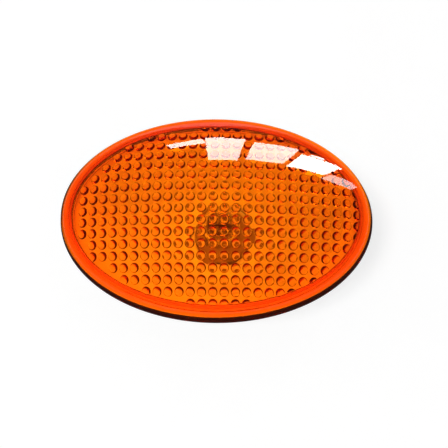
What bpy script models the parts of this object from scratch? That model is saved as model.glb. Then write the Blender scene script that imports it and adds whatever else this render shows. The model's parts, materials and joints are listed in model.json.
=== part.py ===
"""Oval fender turn signal lamp, modelled piece by piece at its real size.

An amber lens with a grid of small convex lenslets on its inner face sits on a
light moulded housing, whose bowl narrows to a round socket. A twist-lock bulb
holder closes that socket from behind and carries a wedge bulb, two contacts
and a seal. A soft gasket lies between the lamp and the fender, a moulded hook
holds one end of the lamp and a leaf spring the other.

The lamp stands on the plug end of its bulb holder: +Z runs out through the
lens, X is the long way of the oval, and the origin lies on the ground below
the middle of the lens. Units are metres.
"""

import math

import bmesh
import bpy
from mathutils import Vector
from mathutils.geometry import delaunay_2d_cdt

# Clearance that every pair of touching pieces keeps
GAP = 0.0003

# Lens
LENS_LENGTH = 0.0820
LENS_WIDTH = 0.0542
SKIRT_HEIGHT = 0.0058
SKIRT_FLARE = 0.0018
SKIRT_FOOT_WALL = 0.0020
DOME_RISE = 0.0102
LENS_WALL = 0.0022
SHOULDER_ROUND = 0.0012
INNER_FLARE = 0.0010

# Lenslets on the inner face of the lens
LENSLET_PITCH_X = 0.00273
LENSLET_PITCH_Y = 0.00281
LENSLET_RADIUS = 0.00117
LENSLET_RISE = 0.00060
PATTERN_MARGIN = 0.0053
PATTERN_SHIFT_X = 0.0005
PATTERN_SHIFT_Y = -0.0010
FOOT_POINTS = 8
CROWN_POINTS = 4
CROWN_SHARE = 0.6

# Housing
BOWL_DEPTH = 0.0200
BOWL_MOUTH_INSET = 0.0079
BOWL_END_CURVE = 1.3
HOUSING_WALL = 0.0020
FLANGE_INSET = 0.0006
FLANGE_THICKNESS = 0.0018
LIP_HEIGHT = 0.0025
LIP_WIDTH = 0.0012
SOCKET_X = 0.0014
SOCKET_Y = -0.0015
SOCKET_RADIUS = 0.0084
COLLAR_WALL = 0.0031
COLLAR_LENGTH = 0.0030
GUSSET_COUNT = 4
GUSSET_THICKNESS = 0.0014
GUSSET_FOOT = 0.0020
GUSSET_RISE = 0.0030
GUSSET_STEP = 0.0007

# Gasket
GASKET_THICKNESS = 0.0022
GASKET_INSET = 0.0012
CHANNEL_WIDTH = 0.0014
CHANNEL_DEPTH = 0.0006

# Panel fixings: the hook at -X and the leaf spring at +X
FUSE_DEPTH = 0.0017
PANEL_SLOT = 0.0012
HOOK_THICKNESS = 0.0022
HOOK_HALF_WIDTH = 0.0050
HOOK_OVERHANG = 0.0040
HOOK_CHAMFER = 0.0009
CLIP_METAL = 0.0006
CLIP_HALF_WIDTH = 0.0045
CLIP_LEG_LENGTH = 0.0080
CLIP_FOOT_RADIUS = 0.0012
CLIP_OVERHANG = 0.0032
CLIP_LEAD_IN = 0.0015
CLIP_BEND_OUT = 0.35
CLIP_BEND_UP = 0.45
PAD_PROUD = 0.0004
RAIL_WIDTH = 0.0012
RAIL_HEIGHT = 0.0015

# Bulb holder
SHROUD_LENGTH = 0.0200
SHROUD_WIDTH = 0.0160
SHROUD_DEPTH = 0.0070
SHROUD_WALL = 0.0018
SHROUD_CORNER = 0.0030
PLUG_DEPTH = 0.0060
HOLDER_FLANGE_RADIUS = 0.0112
HOLDER_FLANGE_THICKNESS = 0.0020
HOLDER_CLEARANCE = 0.0004
HOLDER_RISE = 0.0025
HOLDER_EDGE = 0.0006
LUG_REACH = 0.0015
LUG_THICKNESS = 0.0015
LUG_ARC = math.radians(26)
LUG_COUNT = 3
LUG_TURN = math.radians(60)
NOTCH_ARC = math.radians(34)
LATCH_WIDTH = 0.0050
LATCH_HEIGHT = 0.0012
LATCH_LENGTH = 0.0030
LATCH_RAMP = 0.0021
LATCH_PLACE = 0.0022
GRIP_WIDTH = 0.0016
GRIP_DEPTH = 0.0035
GRIP_PITCH = 0.0048

# Seal ring between holder and housing
SEAL_THICKNESS = 0.0014

# Wedge bulb
BULB_RADIUS = 0.0050
BULB_LENGTH = 0.0268
BULB_GLASS = 0.0006
BASE_HALF_WIDTH = 0.0045
BASE_HALF_THICKNESS = 0.0011
BASE_LENGTH = 0.0068
BASE_TAPER = 0.0028
WAIST_HALF_WIDTH = 0.00485
WAIST_HALF_THICKNESS = 0.0035
WAIST_HEIGHT = 0.0017
LEAD_CHANNEL_HALF_WIDTH = 0.0031
LEAD_CHANNEL_HALF_THICKNESS = 0.0006
LEAD_RADIUS = 0.00025
LEAD_SPACING = 0.0048
LEAD_FOLD_LENGTH = 0.0036
FILAMENT_HEIGHT = 0.0135
COIL_RADIUS = 0.00040
COIL_TURNS = 7
COIL_TURN_STEPS = 6
FILAMENT_THINNING = 0.44

# Contacts
CONTACT_WIDTH = 0.0023
CONTACT_METAL = 0.0005
CONTACT_SLOT_CLEARANCE = 0.0004
BLADE_END = 0.0010
SPRING_LENGTH = 0.0056

# Facets round the outlines
LENS_SIDES = 60
HOUSING_SIDES = 48
SOCKET_SIDES = 32
BULB_SIDES = 24

# Where the rings of each curved face lie, as shares of the way along it
SHOULDER_SHARES = (0.0, 0.3, 0.6, 1.0)
DOME_SHARES = (0.84, 0.66, 0.46, 0.24)
BOWL_SHARES = (0.2, 0.42, 0.64, 0.82, 0.94)

# Heights that follow from the stack behind the lens
HALF_LENGTH = LENS_LENGTH / 2
HALF_WIDTH = LENS_WIDTH / 2
HOLDER_FLANGE_TOP = SHROUD_DEPTH + HOLDER_FLANGE_THICKNESS
COLLAR_BACK_Z = HOLDER_FLANGE_TOP + SEAL_THICKNESS + 2 * GAP
FLOOR_Z = COLLAR_BACK_Z + COLLAR_LENGTH
RIM_Z = FLOOR_Z + BOWL_DEPTH
SHOULDER_Z = RIM_Z + SKIRT_HEIGHT
FLANGE_TOP_Z = RIM_Z - GAP
FLANGE_BACK_Z = FLANGE_TOP_Z - FLANGE_THICKNESS
GASKET_TOP_Z = FLANGE_BACK_Z - GAP
GASKET_BACK_Z = GASKET_TOP_Z - GASKET_THICKNESS
FIXING_Z = GASKET_BACK_Z - PANEL_SLOT
COLLAR_RADIUS = SOCKET_RADIUS + COLLAR_WALL
HOLDER_RADIUS = SOCKET_RADIUS - HOLDER_CLEARANCE
CONTACT_JOG_Z = HOLDER_FLANGE_TOP + GAP + CONTACT_METAL
BULB_BASE_Z = CONTACT_JOG_Z + 2 * GAP + 2 * LEAD_RADIUS
HOLDER_TOP_Z = FLOOR_Z + HOLDER_RISE
CLIP_LEG_TOP_Z = FIXING_Z - 2 * CLIP_METAL
CLIP_LEG_LOW_Z = FIXING_Z - CLIP_LEG_LENGTH
PANEL_EDGE_X = HALF_LENGTH - BOWL_MOUTH_INSET + HOUSING_WALL


# Shared building tools


def clear_scene():
    """Remove every object that the scene starts with."""
    for item in list(bpy.data.objects):
        bpy.data.objects.remove(item, do_unlink=True)


def make_material(name, color, roughness, metallic=0.0, transmission=0.0, ior=1.5):
    """Return a Principled material of one plain colour."""
    material = bpy.data.materials.new(name)
    material.use_nodes = True
    material.diffuse_color = (*color, 1.0)
    shader = material.node_tree.nodes["Principled BSDF"]
    shader.inputs["Base Color"].default_value = (*color, 1.0)
    shader.inputs["Roughness"].default_value = roughness
    shader.inputs["Metallic"].default_value = metallic
    shader.inputs["Transmission Weight"].default_value = transmission
    shader.inputs["IOR"].default_value = ior
    return material


def ellipse(half_x, half_y, height, sides, centre=(0.0, 0.0)):
    """Return the points of a level ellipse, counter-clockwise from +X."""
    points = []
    for step in range(sides):
        angle = 2 * math.pi * step / sides
        x = centre[0] + half_x * math.cos(angle)
        y = centre[1] + half_y * math.sin(angle)
        points.append(Vector((x, y, height)))
    return points


def stadium(half_x, half_y, height, sides):
    """Return a level outline with flat long sides and round ends, with as many points as a circle."""
    straight = half_x - half_y
    points = []
    for step in range(sides):
        angle = 2 * math.pi * (step + 0.5) / sides
        side = math.copysign(straight, math.cos(angle))
        points.append(Vector((side + half_y * math.cos(angle), half_y * math.sin(angle), height)))
    return points


def add_ring(bm, points):
    """Add the points of one ring to the mesh."""
    return [bm.verts.new(point) for point in points]


def bridge(bm, first, second):
    """Join two rings of the same number of points with a band of quads."""
    count = len(first)
    for index in range(count):
        following = (index + 1) % count
        bm.faces.new((first[index], first[following], second[following], second[index]))


def fan(bm, ring, tip):
    """Close a ring with triangles that meet in one point."""
    point = bm.verts.new(tip)
    for index in range(len(ring)):
        bm.faces.new((ring[index], ring[(index + 1) % len(ring)], point))


def finish_object(bm, name, material, parent=None, sharp_angle=35.0):
    """Turn the mesh into an object with its faces pointing out and smooth shading."""
    bmesh.ops.recalc_face_normals(bm, faces=bm.faces)
    mesh = bpy.data.meshes.new(name)
    bm.to_mesh(mesh)
    bm.free()
    mesh.shade_smooth()
    mesh.set_sharp_from_angle(angle=math.radians(sharp_angle))
    item = bpy.data.objects.new(name, mesh)
    bpy.context.scene.collection.objects.link(item)
    item.parent = parent
    if material is not None:
        mesh.materials.append(material)
    return item


def loft_loop(bm, outlines):
    """Skin a closed band of outlines whose last one meets the first, as in a ring or a tube."""
    rings = [add_ring(bm, outline) for outline in outlines]
    for index, ring in enumerate(rings):
        bridge(bm, ring, rings[(index + 1) % len(rings)])


def loft_capped(bm, outlines):
    """Skin a stack of outlines and close both ends with flat faces."""
    rings = [add_ring(bm, outline) for outline in outlines]
    for lower, upper in zip(rings, rings[1:]):
        bridge(bm, lower, upper)
    bm.faces.new(rings[0])
    bm.faces.new(rings[-1])


def add_prism(bm, outline, direction):
    """Extrude a flat closed outline of points along a direction."""
    base = add_ring(bm, outline)
    top = add_ring(bm, [point + direction for point in outline])
    bridge(bm, base, top)
    bm.faces.new(base)
    bm.faces.new(top)


def add_box(bm, low, high):
    """Add a box between two opposite corners."""
    outline = [
        Vector((low[0], low[1], low[2])),
        Vector((high[0], low[1], low[2])),
        Vector((high[0], high[1], low[2])),
        Vector((low[0], high[1], low[2])),
    ]
    add_prism(bm, outline, Vector((0, 0, high[2] - low[2])))


def add_arc_block(bm, inner, outer, low, high, middle, arc, steps=3):
    """Add a block that follows a circle, between two radii, two heights and two angles."""
    angles = [middle - arc / 2 + arc * step / steps for step in range(steps + 1)]
    outline = [Vector((outer * math.cos(angle), outer * math.sin(angle), low)) for angle in angles]
    outline += [Vector((inner * math.cos(angle), inner * math.sin(angle), low)) for angle in reversed(angles)]
    add_prism(bm, outline, Vector((0, 0, high - low)))


def rounded_rectangle(length, width, corner, height, steps=3):
    """Return a level rectangle with round corners, centred on the axis."""
    points = []
    for quarter in range(4):
        sign_x = (1, -1, -1, 1)[quarter]
        sign_y = (1, 1, -1, -1)[quarter]
        centre_x = sign_x * (length / 2 - corner)
        centre_y = sign_y * (width / 2 - corner)
        for step in range(steps + 1):
            angle = math.pi / 2 * (quarter + step / steps)
            x = centre_x + corner * math.cos(angle)
            y = centre_y + corner * math.sin(angle)
            points.append(Vector((x, y, height)))
    return points


def offset_strip(points, thickness):
    """Return the closed outline of a bent strip whose one face follows the given points.

    The points lie in the XZ plane or the YZ plane. The other face is offset to
    the left of the path, mitred at each bend.
    """
    flat = abs(points[0].x - points[-1].x) < 1e-9 and all(abs(p.x - points[0].x) < 1e-9 for p in points)
    across = Vector((0, 1, 0)) if flat else Vector((1, 0, 0))
    up = Vector((0, 0, 1))

    def normal(start, end):
        run = (end - start).normalized()
        return -across * run.dot(up) + up * run.dot(across)

    shifted = []
    for index, point in enumerate(points):
        before = normal(points[max(index - 1, 0)], points[max(index, 1)])
        after = normal(points[min(index, len(points) - 2)], points[min(index + 1, len(points) - 1)])
        mitre = (before + after).normalized()
        shifted.append(point + mitre * thickness / max(mitre.dot(after), 0.3))
    return points + list(reversed(shifted))


def add_tool(bm, name, parent=None):
    """Turn the mesh into a hidden shape that only a Boolean uses."""
    tool = finish_object(bm, name, None, parent)
    tool.hide_render = True
    tool.display_type = "WIRE"
    return tool


def apply_boolean(item, tool, operation):
    """Cut the tool from the object, or join it to the object."""
    modifier = item.modifiers.new(tool.name, "BOOLEAN")
    modifier.operation = operation
    modifier.solver = "EXACT"
    modifier.object = tool


# Lens


def skirt_inset(height):
    """Return how far the skirt's outer face has leaned in at a height."""
    return SKIRT_FLARE * (height - RIM_Z) / SKIRT_HEIGHT


def dome_outside(x, y):
    """Return the height of the outer dome: a paraboloid over the shoulder's ellipse."""
    half_x = HALF_LENGTH - SKIRT_FLARE
    half_y = HALF_WIDTH - SKIRT_FLARE
    return SHOULDER_Z + DOME_RISE * (1 - (x / half_x) ** 2 - (y / half_y) ** 2)


def dome_inside(x, y):
    """Return the height of the smooth inner dome, one wall behind the outer one."""
    slope_x = 2 * DOME_RISE * x / (HALF_LENGTH - SKIRT_FLARE) ** 2
    slope_y = 2 * DOME_RISE * y / (HALF_WIDTH - SKIRT_FLARE) ** 2
    return dome_outside(x, y) - LENS_WALL * math.sqrt(1 + slope_x**2 + slope_y**2)


def lens_inner_inset(height):
    """Return the inset of the skirt's inner face, whose draft is gentler than the outer one."""
    return SKIRT_FOOT_WALL + INNER_FLARE * (height - RIM_Z) / SKIRT_HEIGHT


def lenslet_centres():
    """Return the lattice points of the lenslet pattern that lie inside its oval border."""
    half_x = HALF_LENGTH - PATTERN_MARGIN
    half_y = HALF_WIDTH - PATTERN_MARGIN
    columns = math.ceil(LENS_LENGTH / LENSLET_PITCH_X / 2)
    rows = math.ceil(LENS_WIDTH / LENSLET_PITCH_Y / 2)
    centres = []
    for row in range(-rows, rows + 1):
        for column in range(-columns, columns + 1):
            x = column * LENSLET_PITCH_X
            y = row * LENSLET_PITCH_Y
            across = (x - PATTERN_SHIFT_X) / half_x
            along = (y - PATTERN_SHIFT_Y) / half_y
            if across**2 + along**2 < 1:
                centres.append((x, y))
    return centres


def lenslet_cap(distance):
    """Return how far a lenslet stands proud at a distance from its centre: a spherical cap."""
    sphere = (LENSLET_RADIUS**2 + LENSLET_RISE**2) / (2 * LENSLET_RISE)
    edge = math.sqrt(sphere**2 - LENSLET_RADIUS**2)
    return math.sqrt(sphere**2 - distance**2) - edge


def lenslet_points():
    """Return the points of every lenslet, each a ring of foot points under a ring of crown points."""
    crown_radius = CROWN_SHARE * LENSLET_RADIUS
    points = []
    for x, y in lenslet_centres():
        for step in range(FOOT_POINTS):
            angle = 2 * math.pi * (step + 0.5) / FOOT_POINTS
            foot_x = x + LENSLET_RADIUS * math.cos(angle)
            foot_y = y + LENSLET_RADIUS * math.sin(angle)
            points.append(Vector((foot_x, foot_y, dome_inside(foot_x, foot_y))))
        for step in range(CROWN_POINTS):
            angle = 2 * math.pi * (step + 0.5) / CROWN_POINTS
            crown_x = x + crown_radius * math.cos(angle)
            crown_y = y + crown_radius * math.sin(angle)
            height = dome_inside(crown_x, crown_y) - lenslet_cap(crown_radius)
            points.append(Vector((crown_x, crown_y, height)))
    return points


def add_lenslet_field(bm, border):
    """Fill the inner dome inside its border with triangles that run through every lenslet point."""
    lenslets = lenslet_points()
    scale = 1 / LENSLET_RADIUS
    flat = [vert.co.xy * scale for vert in border]
    flat += [point.xy * scale for point in lenslets]
    edges = [(index, (index + 1) % len(border)) for index in range(len(border))]
    result = delaunay_2d_cdt(flat, edges, [], 0, 1e-5, True)
    faces = result[2]
    sources = result[3]
    verts = []
    for source in sources:
        first = source[0]
        if first < len(border):
            verts.append(border[first])
        else:
            verts.append(bm.verts.new(lenslets[first - len(border)]))
    for face in faces:
        bm.faces.new([verts[index] for index in face])


def build_lens(material):
    """Build the lens: flared skirt, rounded shoulder, dome, and lenslets on the inner face."""
    bm = bmesh.new()
    shoulder_x = HALF_LENGTH - SKIRT_FLARE
    shoulder_y = HALF_WIDTH - SKIRT_FLARE
    lower_z = SHOULDER_Z - SHOULDER_ROUND
    lower = ellipse(HALF_LENGTH - skirt_inset(lower_z), HALF_WIDTH - skirt_inset(lower_z), lower_z, LENS_SIDES)
    corner = ellipse(shoulder_x, shoulder_y, SHOULDER_Z, LENS_SIDES)
    upper_scale = 1 - 1.5 * SHOULDER_ROUND / shoulder_x
    outlines = [ellipse(HALF_LENGTH, HALF_WIDTH, RIM_Z, LENS_SIDES)]
    upper = dome_ring(upper_scale)
    for t in SHOULDER_SHARES:
        arc = []
        for start, middle, end in zip(lower, corner, upper):
            arc.append(start * (1 - t) ** 2 + middle * 2 * t * (1 - t) + end * t**2)
        outlines.append(arc)
    outlines += [dome_ring(upper_scale * share) for share in DOME_SHARES]
    rings = [add_ring(bm, outline) for outline in outlines]
    for first, second in zip(rings, rings[1:]):
        bridge(bm, first, second)
    fan(bm, rings[-1], (0, 0, dome_outside(0, 0)))

    foot = add_ring(
        bm, ellipse(HALF_LENGTH - SKIRT_FOOT_WALL, HALF_WIDTH - SKIRT_FOOT_WALL, RIM_Z, LENS_SIDES)
    )
    bridge(bm, rings[0], foot)
    inset = lens_inner_inset(SHOULDER_Z)
    top = ellipse(HALF_LENGTH - inset, HALF_WIDTH - inset, 0, LENS_SIDES)
    for point in top:
        point.z = dome_inside(point.x, point.y)
    border = add_ring(bm, top)
    bridge(bm, foot, border)
    add_lenslet_field(bm, border)
    return finish_object(bm, "lens", material)


def dome_ring(scale):
    """Return a ring of the outer dome at a share of the shoulder's ellipse."""
    half_x = (HALF_LENGTH - SKIRT_FLARE) * scale
    half_y = (HALF_WIDTH - SKIRT_FLARE) * scale
    points = ellipse(half_x, half_y, 0, LENS_SIDES)
    for point in points:
        point.z = dome_outside(point.x, point.y)
    return points


# Housing


def bowl_half_sizes(share, wall):
    """Return the bowl's half length and half width at a share of its depth.

    Lengthwise the wall runs down almost straight, and crosswise it bellies out
    like a quarter of an ellipse.
    """
    mouth_x = HALF_LENGTH - BOWL_MOUTH_INSET
    mouth_y = HALF_WIDTH - BOWL_MOUTH_INSET
    straight = 1 - share**BOWL_END_CURVE
    belly = math.sqrt(max(0.0, 1 - share**2))
    half_x = COLLAR_RADIUS + (mouth_x - COLLAR_RADIUS) * straight + wall
    half_y = COLLAR_RADIUS + (mouth_y - COLLAR_RADIUS) * belly + wall
    return half_x, half_y


def bowl_share(height):
    """Return the share of the bowl's depth at a height: 0 at its mouth, 1 at its floor."""
    return (FLANGE_TOP_Z - height) / (FLANGE_TOP_Z - FLOOR_Z)


def bowl_ring(share, wall):
    """Return one level of the bowl, whose middle moves over to the socket's axis on the way down."""
    half_x, half_y = bowl_half_sizes(share, wall)
    height = FLANGE_TOP_Z + (FLOOR_Z - FLANGE_TOP_Z) * share
    return ellipse(half_x, half_y, height, HOUSING_SIDES, (SOCKET_X * share, SOCKET_Y * share))


def bowl_end_x(height, side):
    """Return where the bowl's outer face crosses the XZ plane at a height, at +X (1) or -X (-1)."""
    share = bowl_share(height)
    half_x, _ = bowl_half_sizes(share, HOUSING_WALL)
    return SOCKET_X * share + side * half_x


def bowl_reach(height, angle):
    """Return how far from the socket's axis the middle of the bowl's wall lies, in one direction.

    It is the positive root of the ray's crossing with the ellipse of that level.
    """
    share = bowl_share(height)
    half_x, half_y = bowl_half_sizes(share, HOUSING_WALL / 2)
    start_x = SOCKET_X * (1 - share) / half_x
    start_y = SOCKET_Y * (1 - share) / half_y
    run_x = math.cos(angle) / half_x
    run_y = math.sin(angle) / half_y
    square = run_x**2 + run_y**2
    mixed = start_x * run_x + start_y * run_y
    rest = start_x**2 + start_y**2 - 1
    return (math.sqrt(mixed**2 - square * rest) - mixed) / square


def socket_circle(radius, height):
    """Return a circle round the socket's axis with the housing's number of points."""
    return ellipse(radius, radius, height, HOUSING_SIDES, (SOCKET_X, SOCKET_Y))


def oval(inset, height):
    """Return the lamp's oval, moved in by an inset, with the housing's number of points."""
    return ellipse(HALF_LENGTH - inset, HALF_WIDTH - inset, height, HOUSING_SIDES)


def build_housing(material, socket_axis):
    """Build the housing: flange with its lip, bowl, floor and socket collar, then what joins them."""
    lip_inset = SKIRT_FOOT_WALL + GAP
    lip_top = RIM_Z + LIP_HEIGHT
    lip_top_inset = lens_inner_inset(lip_top) + GAP
    bm = bmesh.new()
    outlines = [
        oval(FLANGE_INSET, FLANGE_BACK_Z),
        oval(FLANGE_INSET, FLANGE_TOP_Z),
        oval(lip_inset, FLANGE_TOP_Z),
        oval(lip_top_inset, lip_top),
        oval(lip_top_inset + LIP_WIDTH, lip_top),
        oval(lip_top_inset + LIP_WIDTH, FLANGE_TOP_Z),
    ]
    outlines += [bowl_ring(share, 0.0) for share in (0.0, *BOWL_SHARES, 1.0)]
    outlines += [
        socket_circle(SOCKET_RADIUS, FLOOR_Z),
        socket_circle(SOCKET_RADIUS, COLLAR_BACK_Z),
        socket_circle(COLLAR_RADIUS, COLLAR_BACK_Z),
        socket_circle(COLLAR_RADIUS, FLOOR_Z - HOUSING_WALL),
    ]
    outlines += [bowl_ring(share, HOUSING_WALL) for share in reversed(BOWL_SHARES)]
    outlines.append(bowl_ring(bowl_share(FLANGE_BACK_Z), HOUSING_WALL))
    loft_loop(bm, outlines)
    housing = finish_object(bm, "housing", material)

    apply_boolean(housing, hook_shape(), "UNION")
    apply_boolean(housing, clip_pad_shape(), "UNION")
    for index in range(GUSSET_COUNT):
        apply_boolean(housing, gusset_shape(index, socket_axis), "UNION")
    apply_boolean(housing, notch_shape(socket_axis), "DIFFERENCE")
    return housing


def root_x(height, side):
    """Return where a shape fused to one end of the bowl starts, just short of the inner face."""
    return bowl_end_x(height, side) - side * FUSE_DEPTH


def hook_shape():
    """Return the flat hook at -X that slips behind the fender's edge, with a chamfered tip."""
    top = FIXING_Z
    back = FIXING_Z - HOOK_THICKNESS
    tip = PANEL_EDGE_X + HOOK_OVERHANG
    outline = [
        Vector((root_x(back, -1), -HOOK_HALF_WIDTH, back)),
        Vector((-tip + HOOK_CHAMFER, -HOOK_HALF_WIDTH, back)),
        Vector((-tip, -HOOK_HALF_WIDTH, back + HOOK_CHAMFER)),
        Vector((-tip, -HOOK_HALF_WIDTH, top - HOOK_CHAMFER / 2)),
        Vector((-tip + HOOK_CHAMFER, -HOOK_HALF_WIDTH, top)),
        Vector((root_x(top, -1), -HOOK_HALF_WIDTH, top)),
    ]
    bm = bmesh.new()
    add_prism(bm, outline, Vector((0, 2 * HOOK_HALF_WIDTH, 0)))
    return add_tool(bm, "hook_shape")


def pad_face_x():
    """Return where the outer face of the clip's pad stands: just proud of the bowl beside the leg's top."""
    return bowl_end_x(CLIP_LEG_TOP_Z, 1) + PAD_PROUD


def clip_pad_shape():
    """Return the pad at +X that carries the leaf spring, a channel whose two rails keep it from sliding off."""
    face = pad_face_x()
    inner = CLIP_HALF_WIDTH + GAP
    outer = inner + RAIL_WIDTH
    outlines = []
    for height in (CLIP_LEG_LOW_Z, FIXING_Z - CLIP_METAL):
        corners = [
            (root_x(height, 1), -outer),
            (face + RAIL_HEIGHT, -outer),
            (face + RAIL_HEIGHT, -inner),
            (face, -inner),
            (face, inner),
            (face + RAIL_HEIGHT, inner),
            (face + RAIL_HEIGHT, outer),
            (root_x(height, 1), outer),
        ]
        outlines.append([Vector((x, y, height)) for x, y in corners])
    bm = bmesh.new()
    loft_capped(bm, outlines)
    return add_tool(bm, "clip_pad_shape")


def gusset_shape(index, socket_axis):
    """Return one of the four ribs that brace the collar against the bowl."""
    angle = 2 * math.pi * (index + 0.5) / GUSSET_COUNT
    start = SOCKET_RADIUS + COLLAR_WALL / 2
    low = COLLAR_BACK_Z + GUSSET_STEP
    profile = [(start, low), (COLLAR_RADIUS + GUSSET_FOOT, low)]
    for share in (1.0, 0.6, 0.3):
        height = FLOOR_Z + GUSSET_RISE * share
        profile.append((bowl_reach(height, angle), height))
    profile.append((start, FLOOR_Z - HOUSING_WALL / 2))
    run = Vector((math.cos(angle), math.sin(angle), 0))
    side = Vector((-run.y, run.x, 0)) * GUSSET_THICKNESS / 2
    outline = [run * reach - side + Vector((0, 0, height)) for reach, height in profile]
    bm = bmesh.new()
    add_prism(bm, outline, side * 2)
    return add_tool(bm, f"gusset_shape_{index + 1}", socket_axis)


def notch_shape(socket_axis):
    """Return the entry notches in the socket's edge, one for each lug of the holder."""
    bm = bmesh.new()
    for index in range(LUG_COUNT):
        middle = LUG_TURN + index * 2 * math.pi / LUG_COUNT
        outer = HOLDER_RADIUS + LUG_REACH + HOLDER_CLEARANCE
        low = COLLAR_BACK_Z - GAP
        high = FLOOR_Z + GAP
        add_arc_block(bm, SOCKET_RADIUS - LUG_REACH, outer, low, high, middle, NOTCH_ARC)
    return add_tool(bm, "notch_shape", socket_axis)


# Gasket


def build_gasket(material):
    """Build the soft gasket behind the flange: two lips on its fender side with a channel between."""
    inner = BOWL_MOUTH_INSET - HOUSING_WALL - GAP
    middle = (inner + GASKET_INSET) / 2
    channel_z = GASKET_BACK_Z + CHANNEL_DEPTH
    bm = bmesh.new()
    loft_loop(
        bm,
        [
            oval(GASKET_INSET, GASKET_TOP_Z),
            oval(inner, GASKET_TOP_Z),
            oval(inner, GASKET_BACK_Z),
            oval(middle + CHANNEL_WIDTH / 2, GASKET_BACK_Z),
            oval(middle + CHANNEL_WIDTH / 2, channel_z),
            oval(middle - CHANNEL_WIDTH / 2, channel_z),
            oval(middle - CHANNEL_WIDTH / 2, GASKET_BACK_Z),
            oval(GASKET_INSET, GASKET_BACK_Z),
        ],
    )
    return finish_object(bm, "gasket", material)


# Leaf spring


def build_retaining_clip(material):
    """Build the leaf spring: a leg on the pad, a round foot, and an arm that grips the fender."""
    face = pad_face_x() + GAP
    foot_z = CLIP_LEG_LOW_Z - CLIP_FOOT_RADIUS / 2
    tip_x = PANEL_EDGE_X + CLIP_OVERHANG
    path = [Vector((face, 0, CLIP_LEG_TOP_Z)), Vector((face, 0, foot_z))]
    outer_x = face + 2 * CLIP_FOOT_RADIUS
    for step in range(1, 5):
        angle = math.pi + math.pi * step / 4
        x = face + CLIP_FOOT_RADIUS + CLIP_FOOT_RADIUS * math.cos(angle)
        path.append(Vector((x, 0, foot_z + CLIP_FOOT_RADIUS * math.sin(angle))))
    bend_x = outer_x + (tip_x - outer_x) * CLIP_BEND_OUT
    path.append(Vector((bend_x, 0, foot_z + (FIXING_Z - foot_z) * CLIP_BEND_UP)))
    path.append(Vector((tip_x, 0, FIXING_Z - CLIP_LEAD_IN)))
    path.append(Vector((tip_x - CLIP_LEAD_IN, 0, FIXING_Z - CLIP_METAL)))
    outline = offset_strip(path, CLIP_METAL)
    for point in outline:
        point.y = -CLIP_HALF_WIDTH
    bm = bmesh.new()
    add_prism(bm, outline, Vector((0, 2 * CLIP_HALF_WIDTH, 0)))
    return finish_object(bm, "retaining_clip", material)


# Bulb holder


def bulb_pocket():
    """Return the half width and half thickness of the pocket that takes the bulb's base."""
    half_width = BASE_HALF_WIDTH + 2 * GAP
    half_thickness = contact_arm_y() + CONTACT_METAL + 2 * GAP
    return half_width, half_thickness


def build_bulb_holder(material, socket_axis):
    """Build the twist-lock holder: plug shroud, flange, neck with lugs, and the bulb's pocket."""
    bm = bmesh.new()
    loft_capped(
        bm,
        [
            ellipse(HOLDER_FLANGE_RADIUS, HOLDER_FLANGE_RADIUS, SHROUD_DEPTH, SOCKET_SIDES),
            ellipse(HOLDER_FLANGE_RADIUS, HOLDER_FLANGE_RADIUS, HOLDER_FLANGE_TOP, SOCKET_SIDES),
            ellipse(HOLDER_RADIUS, HOLDER_RADIUS, HOLDER_FLANGE_TOP, SOCKET_SIDES),
            ellipse(HOLDER_RADIUS, HOLDER_RADIUS, HOLDER_TOP_Z - HOLDER_EDGE, SOCKET_SIDES),
            ellipse(HOLDER_RADIUS - HOLDER_EDGE, HOLDER_RADIUS - HOLDER_EDGE, HOLDER_TOP_Z, SOCKET_SIDES),
        ],
    )
    holder = finish_object(bm, "bulb_holder", material, socket_axis)
    apply_boolean(holder, shroud_shape(socket_axis), "UNION")
    apply_boolean(holder, lug_shape(socket_axis), "UNION")
    apply_boolean(holder, latch_shape(socket_axis), "UNION")
    apply_boolean(holder, grip_shape(socket_axis), "UNION")
    apply_boolean(holder, plug_cavity_shape(socket_axis), "DIFFERENCE")
    apply_boolean(holder, pocket_shape(socket_axis), "DIFFERENCE")
    apply_boolean(holder, contact_slot_shape(socket_axis), "DIFFERENCE")
    return holder


def shroud_shape(socket_axis):
    """Return the block of the plug shroud, sunk a little into the flange to join it."""
    bm = bmesh.new()
    sunk = SHROUD_DEPTH + HOLDER_FLANGE_THICKNESS / 2
    outlines = [rounded_rectangle(SHROUD_LENGTH, SHROUD_WIDTH, SHROUD_CORNER, z) for z in (0.0, sunk)]
    loft_capped(bm, outlines)
    return add_tool(bm, "shroud_shape", socket_axis)


def plug_cavity_shape(socket_axis):
    """Return the space inside the shroud that takes the plug."""
    bm = bmesh.new()
    length = SHROUD_LENGTH - 2 * SHROUD_WALL
    width = SHROUD_WIDTH - 2 * SHROUD_WALL
    corner = SHROUD_CORNER - SHROUD_WALL
    outlines = [rounded_rectangle(length, width, corner, z) for z in (-SHROUD_WALL, PLUG_DEPTH)]
    loft_capped(bm, outlines)
    return add_tool(bm, "plug_cavity_shape", socket_axis)


def lug_shape(socket_axis):
    """Return the three lugs that turn over the housing's floor and pull the holder in."""
    bm = bmesh.new()
    low = FLOOR_Z + GAP
    for index in range(LUG_COUNT):
        middle = index * 2 * math.pi / LUG_COUNT
        inner = HOLDER_RADIUS - LUG_REACH
        add_arc_block(bm, inner, HOLDER_RADIUS + LUG_REACH, low, low + LUG_THICKNESS, middle, LUG_ARC)
    return add_tool(bm, "lug_shape", socket_axis)


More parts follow.
